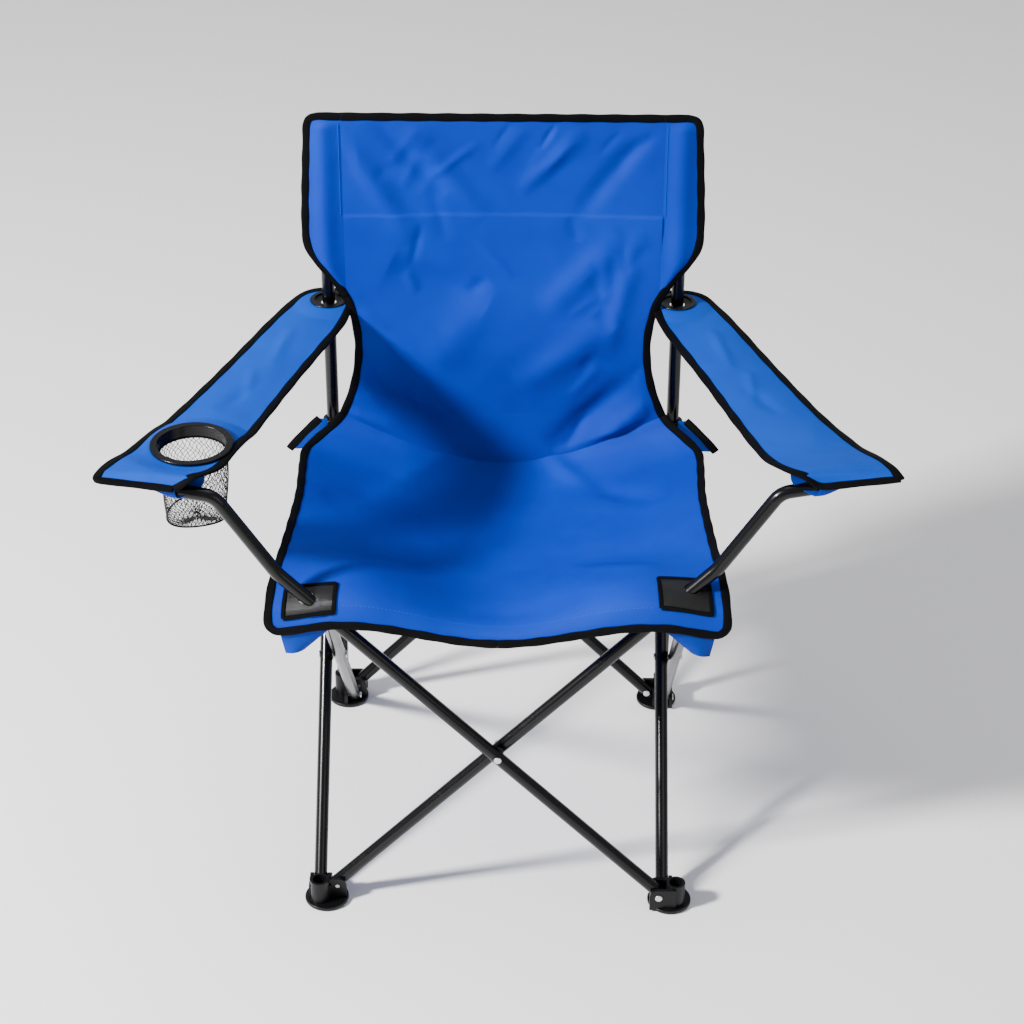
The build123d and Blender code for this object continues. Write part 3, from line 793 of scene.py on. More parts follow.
@dataclass
class Seat:
    """The hanging seat: side hems between the corners, a sagging middle and a dropped front hem."""

    tailor: Tailor
    side_line: tuple = (
        (0.262, -0.238, 0.428), (0.264, -0.235, 0.440), (0.263, -0.225, 0.455), (0.261, -0.200, 0.463),
        (0.257, -0.160, 0.461), (0.252, -0.080, 0.454), (0.248, 0.020, 0.446), (0.250, 0.090, 0.441),
        (0.250, 0.140, 0.438), (0.238, 0.166, 0.440), (0.219, 0.187, 0.448), (0.205, 0.1969, 0.460),
    )
    middle_line: tuple = (
        (-0.234, 0.401), (-0.232, 0.408), (-0.222, 0.415), (-0.200, 0.417), (-0.160, 0.413),
        (-0.080, 0.402), (0.020, 0.392), (0.090, 0.387), (0.130, 0.385), (0.155, 0.386),
        (0.176, 0.388), (0.192, 0.392),
    )
    corner_span: float = 0.178
    rows: int = 120
    cols: int = 60
    # start and run of the blends: the corners' own rise, the drooping tip across and along
    fore: tuple[float, float] = (-0.07, 0.12)
    tip_across: tuple[float, float] = (0.185, 0.075)
    tip_along: tuple[float, float] = (-0.165, 0.07)
    tip_drop: float = 0.010
    hem_fade: float = 0.12
    front_fade_rows: int = 12
    # the arm tube's straight stretch: a point's X and Z on it, and its slope in X and Z
    tube_point: tuple[float, float] = (0.2203, 0.455)
    tube_slope: tuple[float, float] = (0.6952, 0.7188)
    eye_radius: float = 0.0125
    eye_fit: float = 0.0083
    # how the folded seat gathers towards the back
    gather: tuple[float, float, float] = (0, 0.196, 0.44)
    folded_share: float = 0.26
    tape_points: int = 380
    tape_corner_reach: int = 7
    tape_reach: int = 2
    tape_turn_reach: int = 5
    stitch_row: float = 0.055
    stitch_half: float = 0.182
    # the patch: its inner and outer X, its start from the front hem and its depth, and how both
    # grow with the tube's distance behind patch_y
    patch_x: tuple[float, float] = (0.186, 0.248)
    patch_y: float = -0.221
    patch_start: tuple[float, float] = (0.015, 0.375)
    patch_depth: tuple[float, float] = (0.040, 0.55)
    patch_row: int = 10
    vinyl: float = 0.0012
    patch_tape_half: tuple[float, float] = (0.0026, 0.0013)
    patch_tape_lift: float = 0.0016
    patch_tape_points: int = 90
    creases: tuple = (
        Crease((-0.17, 0.34), (-0.05, 0.47), 0.004, 0.016), Crease((-0.21, 0.06), (-0.08, 0.20), 0.003, 0.02),
        Crease((0.13, 0.36), (0.05, 0.46), 0.0045, 0.014), Crease((0.20, 0.08), (0.07, 0.18), 0.003, 0.02),
        Crease((-0.10, 0.04), (0.12, 0.05), -0.003, 0.022), Crease((0.20, 0.30), (0.08, 0.42), -0.004, 0.016),
        Crease((-0.22, 0.28), (-0.12, 0.40), -0.004, 0.02), Crease((-0.02, 0.20), (0.16, 0.24), 0.0025, 0.03),
    )

    def grid(self, side: Side) -> Array:
        """Half of the seat, from the middle (column 0) to the hem.

        At share s of the half width the point is the middle line plus (1 - cos(90 s)) of the way
        to the side line in height and depth, so the two halves meet without a crease. Towards the
        front the share becomes sin^2 of |x| over the corner span, which holds the cloth up level
        over the corner joints, and the outer corner droops a little.
        """
        edge = smooth_line(np.array(self.side_line), self.rows)
        middle = smooth_line(np.column_stack([np.zeros(len(self.middle_line)), self.middle_line]), self.rows)
        share = np.linspace(0, 1, self.cols)
        width = edge[:, :1] * share[None, :]
        full = (1 - np.cos(QUARTER_TURN * share))[None, :]
        corner = np.sin(QUARTER_TURN * np.clip(width / self.corner_span, 0, 1)) ** 2
        fore_part = smooth_step((self.fore[0] - edge[:, 1]) / self.fore[1])[:, None]
        rise = full * (1 - fore_part) + corner * fore_part
        points = middle[:, None] + (edge - middle)[:, None] * rise[..., None]
        points[..., 0] = width * side.value
        tip = smooth_step((width - self.tip_across[0]) / self.tip_across[1])
        tip = tip * smooth_step((self.tip_along[0] - edge[:, 1]) / self.tip_along[1])[:, None]
        points[..., 2] -= self.tip_drop * tip
        uv = grid_uv(points)
        uv[..., 0] = points[..., 0]
        inner = np.clip((1 - share) / self.hem_fade, 0, 1)[None, :]
        fore = np.clip(np.arange(self.rows) / self.front_fade_rows, 0, 1)[:, None]
        points[..., 2] += crease_height(uv, self.creases) * inner * fore
        return points

    def hold(self, side: Side) -> Hold:
        """The half rides on its own body; its hold keeps how it would gather towards the back as the chair
        folds.
        """
        return Hold(f"seat_{side.word}", (0, 1, 0), self.gather, self.folded_share)

    def tube_axis(self, side: Side) -> tuple[Array, Array]:
        """A point and direction of the arm tube where it comes through the cloth."""
        name = "front_outer_tube" if side is Side.LEFT else "front_inner_tube"
        low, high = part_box(name)
        y = 0.5 * (low[1] + high[1])
        (x, z), (run, rise) = self.tube_point, self.tube_slope
        return np.array([x * side.value, y, z]), np.array([run * side.value, 0, rise])

    def build(self, side: Side) -> None:
        """Makes one half: sheet, bound front and side hem, front stitches, patch."""
        hold = self.hold(side)
        whole = self.grid(side)
        grid, hole = punch(whole, *self.tube_axis(side), self.eye_radius)
        if side is Side.LEFT:
            grid, hole, whole = grid[:, ::-1], hole[:, ::-1], whole[:, ::-1]
        obj = sheet_piece(f"seat_{side.word}_half", grid, self.tailor.cloth, hole)
        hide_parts(f"seat_cloth_{side.word}")
        self.tailor.finish(obj, self.tailor.finishes.blue, "cloth_blue", hold)
        declare_sheet(whole)
        normals = grid_normals(whole)
        self.hem_tape(side, whole, hold)
        row = int(self.rows * self.stitch_row)
        between = np.abs(whole[row, :, 0]) < self.stitch_half
        self.tailor.sew(f"seat_{side.word}_front_stitch", whole[row, between], normals[row, between], hold)
        self.patch(side, whole, normals, hold)

    def hem_tape(self, side: Side, grid: Array, hold: Hold) -> None:
        """One tape along the front hem, round the corner and along the side hem.

        The path is averaged over a few neighbours, and over more of them near the corner by a
        bell of the distance from it, so it turns the corner in a small arc. Across it the tape
        lies in the plane of the cloth.

        Args:
            side: The side of the chair.
            grid: The half's points.
            hold: What the half rides on.
        """
        inward = -1 if side is Side.LEFT else 1
        cloth = grid[:, ::inward]
        edge = np.vstack([cloth[0], cloth[1:, -1]])
        outward = unit(np.vstack([cloth[0] - cloth[1], (cloth[:, -1] - cloth[:, -2])[1:]]))
        even = resample(edge, self.tape_points)
        turn = np.argmin(np.linalg.norm(even - cloth[0, -1], axis=1))
        near = bell((np.arange(self.tape_points) - turn) / self.tape_corner_reach)[:, None]
        path = near * soften(even, self.tape_corner_reach) + (1 - near) * soften(even, self.tape_reach)
        across = unit(soften(resample(edge, self.tape_points, outward), self.tape_turn_reach))
        up = inward * unit(np.cross(across, np.gradient(path, axis=0)))
        self.tailor.bind(f"seat_{side.word}_tape", path, up, hold)

    def patch(self, side: Side, grid: Array, normals: Array, hold: Hold) -> None:
        """The vinyl patch sewn on the corner where the arm tube comes through.

        Args:
            side: The side of the chair.
            grid: The half's points.
            normals: The half's normals.
            hold: What the half rides on.
        """
        point, direction = self.tube_axis(side)
        out = np.abs(grid[self.patch_row, :, 0])
        cols = np.where((out >= self.patch_x[0]) & (out <= self.patch_x[1]))[0]
        lead = grid[:, cols[len(cols) // 2]]
        run = np.concatenate([[0], np.cumsum(np.linalg.norm(np.diff(lead, axis=0), axis=1))])
        offset = point[1] - self.patch_y
        first = self.patch_start[0] + self.patch_start[1] * offset
        last = first + self.patch_depth[0] + self.patch_depth[1] * offset
        rows = np.where((run > first) & (run < last))[0]
        part = grid[rows[0]:rows[-1] + 1, cols[0]:cols[-1] + 1]
        up = normals[rows[0]:rows[-1] + 1, cols[0]:cols[-1] + 1]
        fine, hole = punch(refine(part + self.vinyl * up, 3), point, direction, self.eye_fit)
        obj = sheet_piece(f"{side.word}_corner_patch_vinyl", fine, self.vinyl, hole)
        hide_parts(f"{side.word}_corner_patch")
        self.tailor.finish(obj, self.tailor.finishes.vinyl, "patch_vinyl", hold)
        declare_sheet(fine)
        loop = np.vstack([part[0], part[:, -1], part[-1, ::-1], part[::-1, 0]])
        loop_up = np.vstack([up[0], up[:, -1], up[-1, ::-1], up[::-1, 0]])
        thin = Tailor(self.tailor.finishes, tape_half=self.patch_tape_half)
        count = self.patch_tape_points
        lifted = resample(loop + self.patch_tape_lift * loop_up, count)
        thin.bind(f"{side.word}_corner_patch_edge", lifted, resample(loop, count, loop_up), hold)


def middle(node: str) -> Array:
    """The middle of a frame node's box, to a hundredth of a millimetre."""
    low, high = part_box(node)
    return np.round(0.5 * (np.array(low) + np.array(high)), 5)


def refine(grid: Array, factor: int) -> Array:
    """The same surface with more points, worked out by straight interpolation both ways."""
    rows, cols = grid.shape[:2]
    r = np.linspace(0, rows - 1, (rows - 1) * factor + 1)
    c = np.linspace(0, cols - 1, (cols - 1) * factor + 1)
    r0, c0 = np.minimum(r.astype(int), rows - 2), np.minimum(c.astype(int), cols - 2)
    fr, fc = (r - r0)[:, None, None], (c - c0)[None, :, None]
    a, b = grid[r0][:, c0], grid[r0][:, c0 + 1]
    d, e = grid[r0 + 1][:, c0], grid[r0 + 1][:, c0 + 1]
    return (a * (1 - fc) + b * fc) * (1 - fr) + (d * (1 - fc) + e * fc) * fr


@dataclass
class Back:
    """The back cloth: a waisted panel that hangs between two sleeves on the posts."""

    tailor: Tailor
    # half width at each height, from the seat seam to the top hem
    outline: tuple = (
        (0.205, 0.460), (0.199, 0.474), (0.189, 0.505), (0.183, 0.541), (0.183, 0.575), (0.190, 0.611),
        (0.202, 0.636), (0.219, 0.660), (0.234, 0.678), (0.243, 0.698), (0.244, 0.730), (0.242, 0.780),
        (0.237, 0.863),
    )
    seam_x: float = 0.197
    top: float = 0.863
    waist_z: float = 0.460
    wrap_z: float = 0.674
    seam_z: float = 0.735
    foot_z: float = 0.392
    narrow_z: float = 0.55  # below it the panel is as wide as the outline
    join_from_z: float = 0.58  # above it the outline meets the sleeve seam
    rows: int = 214
    cols: int = 190
    # depth of the foot, its short step back, and the lean above: size, start, run
    foot_y: float = 0.192
    foot_step: tuple[float, float] = (0.005, 0.15)
    lean: tuple[float, float, float] = (0.017, 0.3, 0.6)
    # the belly: size, starting height and run
    belly: tuple[float, float, float] = (0.010, 0.54, 0.12)
    lap: float = 0.0016
    lap_step: float = 0.003
    lap_fade: tuple[float, float] = (0.05, 0.04)
    crease_from_z: float = 0.40
    crease_gain: float = 1.25
    side_fade: float = 0.1
    top_fade: float = 0.04
    foot_fade: float = 0.03
    shut: float = 0.27971  # how far the posts close up when the chair is folded
    tape_overlap: float = 0.003
    # the sleeve: the share of its section in front, its hem past the edge, the gap between its
    # layers, the ease in front of the post and the depth of the layer behind it
    sleeve_rows: int = 110
    sleeve_cols: int = 44
    sleeve_front: float = 0.44
    sleeve_hem: float = 0.02
    tape_inset: float = 0.002
    ease: float = 0.0052
    back_y: float = 0.2345
    bulge_x: tuple[float, float] = (0.220, 0.016)  # the post's X and the bell's width
    closing: float = 0.016
    edge_points: int = 90
    corner_in: tuple[float, float] = (0.003, 0.012)
    tape_points: int = 150
    # the sleeve's seam: points, X, height lost at the top, lift off the cloth
    seam_points: int = 80
    seam_out: float = 0.2
    seam_short: float = 0.01
    seam_lift: float = 0.0012
    creases: tuple = (
        Crease((-0.20, 0.44), (-0.11, 0.30), 0.004, 0.014),
        Crease((-0.16, 0.46), (-0.07, 0.36), -0.003, 0.011),
        Crease((-0.12, 0.45), (-0.02, 0.33), 0.003, 0.013), Crease((0.02, 0.36), (0.10, 0.45), 0.0035, 0.012),
        Crease((0.09, 0.33), (0.17, 0.44), -0.003, 0.012), Crease((0.05, 0.20), (0.15, 0.31), 0.004, 0.018),
        Crease((-0.14, 0.27), (-0.02, 0.21), -0.005, 0.020), Crease((0.02, 0.10), (0.15, 0.20), 0.005, 0.020),
        Crease((0.06, 0.01), (0.17, 0.12), -0.007, 0.016), Crease((0.10, 0.0), (0.20, 0.09), 0.006, 0.013),
        Crease((-0.06, 0.02), (-0.18, 0.12), -0.005, 0.018),
        Crease((-0.12, 0.0), (-0.21, 0.07), 0.005, 0.014),
        Crease((-0.10, 0.12), (0.0, 0.24), 0.003, 0.024), Crease((0.13, 0.14), (0.17, 0.32), 0.003, 0.012),
    )

    def half_width(self, z: Array) -> Array:
        """The cloth's half width at a height, from the smoothed outline."""
        line = smooth_line(np.array(self.outline), 200)
        return np.interp(z, line[:, 1], line[:, 0])

    def depth(self, z: Array) -> Array:
        """How far back the cloth hangs at a height: a short step at the foot, then a slow lean."""
        t = np.clip((z - self.foot_z) / (self.top - self.foot_z), 0, 1)
        (step, step_run), (lean, start, run) = self.foot_step, self.lean
        return self.foot_y + step * np.clip(t / step_run, 0, 1) + lean * smooth_step((t - start) / run)

    def panel(self) -> Array:
        """The panel between the sleeve seams; each column runs from the seat seam to the top hem.

        The foot rises from the middle to the sides by 1 - cos(90 s). The depth adds to the leaning
        plane a belly, cos(90 s) across by sin(180 t) up, that starts above the waist, a lapped
        step at the cross seam, and the creases, which fade out at the sides, the top and the foot.
        """
        share = np.linspace(-1, 1, self.cols)
        t = np.linspace(0, 1, self.rows)
        foot = self.foot_z + (self.waist_z - self.foot_z) * (1 - np.cos(QUARTER_TURN * np.abs(share)))
        z = foot[None, :] + (self.top - foot)[None, :] * t[:, None]
        half = np.minimum(self.half_width(z), self.seam_x)
        half = np.where(z < self.narrow_z, self.half_width(np.maximum(z, self.waist_z)), half)
        x = half * share[None, :]
        size, start, run = self.belly
        belly = np.cos(QUARTER_TURN * share)[None, :] ** 1.2 * np.sin(HALF_TURN * t)[:, None]
        belly = size * belly * smooth_step((z - start) / run)
        reach, fade_run = self.lap_fade
        lap = self.lap * smooth_step((self.seam_z - z) / self.lap_step)
        lap = lap * smooth_step((z - self.seam_z + reach) / fade_run)
        fade = np.clip((1 - np.abs(share)) / self.side_fade, 0, 1)[None, :]
        fade = fade * np.clip((1 - t) / self.top_fade, 0, 1)[:, None]
        fade = fade * smooth_step(t / self.foot_fade)[:, None]
        uv = np.dstack([x, z - self.crease_from_z])
        folds = self.crease_gain * crease_height(uv, self.creases + small_creases()) * fade
        y = self.depth(z) + belly - lap - folds
        return np.dstack([x, y, z])

    def build(self) -> None:
        """Makes the panel, the two sleeves, the bound edges and the seams."""
        hold = self.panel_hold()
        grid = self.panel()
        normals = -grid_normals(grid)
        obj = sheet_piece("back_panel", grid, self.tailor.cloth)
        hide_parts("back_cloth")
        self.tailor.finish(obj, self.tailor.finishes.blue, "cloth_blue", hold)
        declare_sheet(grid)
        self.tailor.bind("back_top_tape", grid[-1], normals[-1], hold)
        for side in Side:
            path, up = self.edge_path(side, self.waist_z, self.join_z() + self.tape_overlap)
            self.tailor.bind(f"back_{side.word}_waist_tape", path, up, hold)
        seam = np.argmin(np.abs(grid[:, self.cols // 2, 2] - self.seam_z))
        self.tailor.sew("back_cross_seam", grid[seam, 3:-3], normals[seam, 3:-3], hold)
        self.tailor.sew("back_foot_seam", grid[2, 6:-6], normals[2, 6:-6], hold)
        for side in Side:
            self.sleeve(side)

    def join_z(self) -> float:
        """The height above the waist at which the outline reaches the sleeve seam."""
        line = smooth_line(np.array(self.outline), 400)
        return float(line[(line[:, 1] > self.join_from_z) & (line[:, 0] > self.seam_x)][0, 1])

    def edge_path(self, side: Side, low: float, high: float) -> tuple[Array, Array]:
        """The cloth's outer edge between two heights, with the direction that faces forward."""
        z = np.linspace(low, high, self.edge_points)
        path = np.column_stack([side.value * self.half_width(z), self.depth(z), z])
        return path, np.tile(FORWARD, (self.edge_points, 1))

    def panel_hold(self) -> Hold:
        """The panel rides on the left post; its hold keeps how it would gather towards that post so that its
        far edge meets the right post.
        """
        keep = 1 - self.shut / (2 * self.seam_x)
        return Hold("left_post_frame", (1, 0, 0), (-self.seam_x, 0, 0.6), keep)

    def sleeve(self, side: Side) -> None:
        """The sleeve round a post top, its tape from the waist over the top corner, and its seam.

        Round the section the cloth runs from the seam across the front, round the outer edge in
        half a cosine and back behind the post to the seam. Both layers bulge round the post by a
        bell of the distance from it and draw together over the post's top. Below the wrap height
        only the front layer is there.
        """
        s = side.value
        z = np.linspace(self.join_z(), self.top, self.sleeve_rows)
        t = np.linspace(0, 1, self.sleeve_cols)
        share = self.sleeve_front
        front, behind = np.clip(t / share, 0, 1), np.clip((t - 1 + share) / share, 0, 1)
        around = np.clip((t - share) / (1 - 2 * share), 0, 1)
        around = (0.5 - 0.5 * np.cos(HALF_TURN * around))[None, :]
        out = self.half_width(z)[:, None] - self.tape_inset
        x = self.seam_x + (out - self.seam_x) * (front - behind)[None, :]
        x = x + self.tape_inset * np.sin(HALF_TURN * around)
        slack = smooth_step((self.top - z) / self.closing)[:, None]
        bulge = bell((x - self.bulge_x[0]) / self.bulge_x[1]) * slack
        middle = self.depth(z)[:, None]
        y_front = middle - self.ease * bulge * np.sin(HALF_TURN * front)[None, :] ** 0.5
        y_back = middle + self.tape_inset + (self.back_y - middle) * bulge
        y = y_front * (1 - around) + y_back * around
        grid = np.dstack([s * x, y, np.tile(z[:, None], self.sleeve_cols)])
        hole = (z[:, None] < self.wrap_z) & (t[None, :] > share + self.sleeve_hem)
        if side is Side.RIGHT:
            grid, hole = grid[:, ::-1], hole[:, ::-1]
        hold = Hold(f"{side.word}_post_frame")
        obj = sheet_piece(f"{side.word}_sleeve", grid, self.tailor.cloth, hole)
        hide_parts(f"{side.word}_back_sleeve")
        self.tailor.finish(obj, self.tailor.finishes.blue, "cloth_blue", hold)
        declare_sheet(grid)
        path, count = self.sleeve_edge(side), self.tape_points
        self.tailor.bind(f"{side.word}_sleeve_tape", path, np.tile(FORWARD, (count, 1)), hold)
        count = self.seam_points
        line_z = np.linspace(self.seam_z, self.top - self.seam_short, count)
        line_y = self.depth(line_z) - self.seam_lift
        row = np.column_stack([np.full(count, s * self.seam_out), line_y, line_z])
        self.tailor.sew(f"{side.word}_sleeve_seam", row, np.tile(FORWARD, (count, 1)), hold)

    def sleeve_edge(self, side: Side) -> Array:
        """The sleeve's outer edge, up from the waist, round the top corner and in to the seam."""
        small, large = self.corner_in
        edge, _ = self.edge_path(side, self.join_z() - self.tape_inset, self.top - large)
        width = self.half_width(self.top)
        over = [(width - small, self.top - small)]
        over += [(x, self.top) for x in np.linspace(width - large, self.seam_x - self.tape_inset, 6)]
        top = np.array([(side.value * x, self.depth(np.array(z)), z) for x, z in over])
        return smooth_line(np.vstack([edge[::6], edge[-1:], top]), self.tape_points)


# direction in which each folded armrest is pressed together, and the length left of it
FOLDED_ARMREST = {
    Side.LEFT: ((-0.52362, -0.85195, 0), 0.515),
    Side.RIGHT: ((0.53762, -0.84318, 0), 0.510),
}


@dataclass
class Armrest:
    """An armrest: a long cloth from the post's eyelet to a pocket on the end of the arm tube."""

    tailor: Tailor
    side: Side
    front_y: float
    outer: tuple = ((0.229, 0.251), (0.252, 0.241), (0.272, 0.208), (0.294, 0.160), (0.322, 0.090),
                    (0.350, 0.018), (0.380, -0.060), (0.410, -0.130), (0.436, -0.190), (0.449, -0.222))
    inner: tuple = ((0.225, 0.251), (0.202, 0.245), (0.1915, 0.222), (0.202, 0.168), (0.224, 0.106),
                    (0.250, 0.030), (0.275, -0.055), (0.296, -0.130), (0.311, -0.178), (0.326, -0.205),
                    (0.342, -0.219), (0.360, -0.226))
    rows: int = 170
    cols: int = 46
    # fall of the front edge: at the outer hem, and how much more at the inner one
    droop: tuple[float, float] = (0.004, 0.008)
    droop_run: tuple[float, float] = (0.965, 0.035)
    # rise over the arm tube: height, start, run
    rise: tuple[float, float, float] = (0.008, 0.80, 0.14)
    shift_run: tuple[float, float] = (0.6, 0.4)
    sag: float = 0.012
    crown: float = 0.003
    crease_gain: float = 1.4
    # the cloth lies level round the eyelet and the cup ring: outer radius, run
    level_eye: tuple[float, float] = (0.045, 0.02)
    level_cup: tuple[float, float] = (0.075, 0.025)
    eye_radius: float = 0.0200
    cup_radius: float = 0.0426
    tape_points: int = 420
    tape_reach: int = 3
    tape_turn_reach: int = 6
    tape_lift: float = 0.5
    stitch_row: float = 0.935
    # the backing in the eyelet: its inset, hole radius, dish, rings and points round
    lip_inset: float = 0.004
    lip_hole: float = 0.0095
    lip_dish: float = 0.0022
    lip_rings: int = 7
    lip_round: int = 64
    # the pocket: its first row, gap, depth, and where it closes to the outside
    pocket_row: float = 0.925
    pocket_gap: float = 0.0014
    pocket_depth: float = 0.019
    pocket_shut: tuple[float, float, float] = (0.72, 0.362, 0.03)
    creases: tuple = (
        Crease((0.26, 0.16), (0.28, 0.06), 0.0015, 0.008), Crease((0.29, 0.02), (0.33, -0.05), -0.0015, 0.01),
        Crease((0.30, -0.02), (0.30, 0.06), 0.0012, 0.007),
    )

    def grid(self) -> Array:
        """Rows run from the post to the front edge, columns from the inner to the outer hem.

        A column is a straight mix of the two hems; the height falls a little towards the hems and
        rises again over the arm tube at the front.
        """
        s = self.side.value
        inner = smooth_line(np.array(self.inner), self.rows)
        outer = smooth_line(np.array(self.outer), self.rows)
        share = np.linspace(0, 1, self.cols)
        flat = inner[:, None] * (1 - share)[None, :, None] + outer[:, None] * share[None, :, None]
        t = np.linspace(0, 1, self.rows)[:, None]
        low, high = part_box(f"{self.side.word}_armrest_cloth")
        base = 0.5 * (low[2] + high[2])
        droop = self.droop[0] + self.droop[1] * (1 - share)[None, :]
        height, start, run = self.rise
        lift = height * smooth_step((t - start) / run)
        lift = lift - droop * smooth_step((t - self.droop_run[0]) / self.droop_run[1])
        sag = self.sag * np.sin(HALF_TURN * t)
        crown = self.crown * np.sin(HALF_TURN * share)[None, :] * np.sin(HALF_TURN * t) ** 0.5
        z = base - sag + lift + crown
        z = z + self.crease_gain * crease_height(flat, self.creases)
        shift = self.front_y - self.inner[-1][1]
        flat[..., 1] += shift * smooth_step((t - self.shift_run[0]) / self.shift_run[1])
        grid = np.dstack([s * flat[..., 0], flat[..., 1], z])
        if self.side is Side.LEFT:
            self.level(grid, middle("cup_ring"), base, self.level_cup)
        self.level(grid, middle(f"{self.side.word}_armrest_eyelet"), base, self.level_eye)
        return grid if s < 0 else grid[:, ::-1]

    def level(self, grid: Array, centre: Array, height: float, reach: tuple[float, float]) -> None:
        """Brings the cloth to one height round a centre.

        Args:
            grid: The cloth's points, changed in place.
            centre: The middle of the level part.
            height: Its height.
            reach: The radius where the levelling starts, and the run over which it grows.
        """
        away = np.hypot(grid[..., 0] - centre[0], grid[..., 1] - centre[1])
        share = np.clip((reach[0] - away) / reach[1], 0, 1)
        grid[..., 2] = grid[..., 2] * (1 - share) + height * share

    def hold(self) -> Hold:
        """The cloth rides on the armrest; its hold keeps how it would shorten towards the eyelet so that its
        front follows the arm tube's end.
        """
        word = self.side.word
        eye = tuple(middle(f"{word}_armrest_eyelet").tolist())
        axis, share = FOLDED_ARMREST[self.side]
        return Hold(f"{word}_armrest", axis, eye, share)

    def build(self) -> None:
        """Makes the cloth with its holes, the binding all round, the hem stitches and the pocket."""
        word, hold = self.side.word, self.hold()
        whole = self.grid()
        grid, hole = punch(whole, middle(f"{word}_armrest_eyelet"), ALONG_Z, self.eye_radius)
        if self.side is Side.LEFT:
            grid, cup = punch(grid, middle("cup_ring"), ALONG_Z, self.cup_radius)
            hole = hole | cup
        obj = sheet_piece(f"{word}_armrest", grid, self.tailor.cloth, hole)
        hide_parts(f"{word}_armrest_cloth")
        # The armrest takes the paler copy of the blue cloth: painted light on its top.
        self.tailor.finish(obj, self.tailor.finishes.light, "cloth_blue", hold)
        declare_sheet(whole)
        normals = grid_normals(whole)
        self.edge_tape(whole, normals, hold)
        row = int(self.rows * self.stitch_row)
        self.tailor.sew(f"{word}_armrest_stitch", whole[row, 3:-3], normals[row, 3:-3], hold)
        self.pocket(whole, hold)
        self.lip()

    def edge_tape(self, grid: Array, normals: Array, hold: Hold) -> None:
        """One tape all round: one hem to the post, the other hem back, then the front edge."""
        around = [np.vstack([rows[:, 0][::-1][:-1], rows[:, -1][1:], rows[-1, ::-1][1:-1], rows[-1:, 0]])
                  for rows in (grid, normals)]
        loop, up = around
        up[..., 2] = np.abs(up[..., 2]) + self.tape_lift
        path = soften(resample(loop, self.tape_points), self.tape_reach)
        up = unit(soften(resample(loop, self.tape_points, up), self.tape_turn_reach))
        self.tailor.bind(f"{self.side.word}_armrest_tape", path, up, hold)

    def lip(self) -> None:
        """The soft backing inside the eyelet: a flat ring with a hole just wider than the post."""
        eyelet = f"{self.side.word}_armrest_eyelet"
        low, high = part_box(eyelet)
        x, y, z = middle(eyelet)
        outer, inner = 0.5 * (high[0] - low[0]) - self.lip_inset, self.lip_hole
        a = np.linspace(0, FULL_TURN, self.lip_round, endpoint=False)[None, :]
        radius = np.linspace(outer, inner, self.lip_rings)[:, None]
        dish = z - self.lip_dish * np.sin(QUARTER_TURN * (outer - radius) / (outer - inner))
        dish = np.broadcast_to(dish, (self.lip_rings, self.lip_round))
        grid = np.dstack([x + radius * np.cos(a), y + radius * np.sin(a), dish])
        faces = grid_faces(self.lip_rings, self.lip_round, wrap=True)
        obj = new_piece(f"{self.side.word}_eyelet_lip", grid.reshape(-1, 3), list(faces))
        thicken(obj, self.tailor.cloth)
        hold = Hold(f"{self.side.word}_armrest")
        self.tailor.finish(obj, self.tailor.finishes.vinyl, "patch_vinyl", hold)

    def pocket(self, grid: Array, hold: Hold) -> None:
        """The under layer of the front end, bulged down round the tube and its plug."""
        part = refine(grid[int(self.rows * self.pocket_row):], 3)
        t = np.linspace(0, 1, part.shape[0])[:, None]
        share, start, run = self.pocket_shut
        shut = 1 - share * smooth_step((np.abs(part[..., 0]) - start) / run)
        part[..., 2] -= self.pocket_gap + self.pocket_depth * np.sin(HALF_TURN * t) ** 0.35 * shut
        obj = sheet_piece(f"{self.side.word}_armrest_pocket", part, self.tailor.cloth)
        # The under layer takes the darker copy of the blue cloth: painted shade under the armrest.
        self.tailor.finish(obj, self.tailor.finishes.lining, "cloth_blue", hold)
        declare_sheet(part)


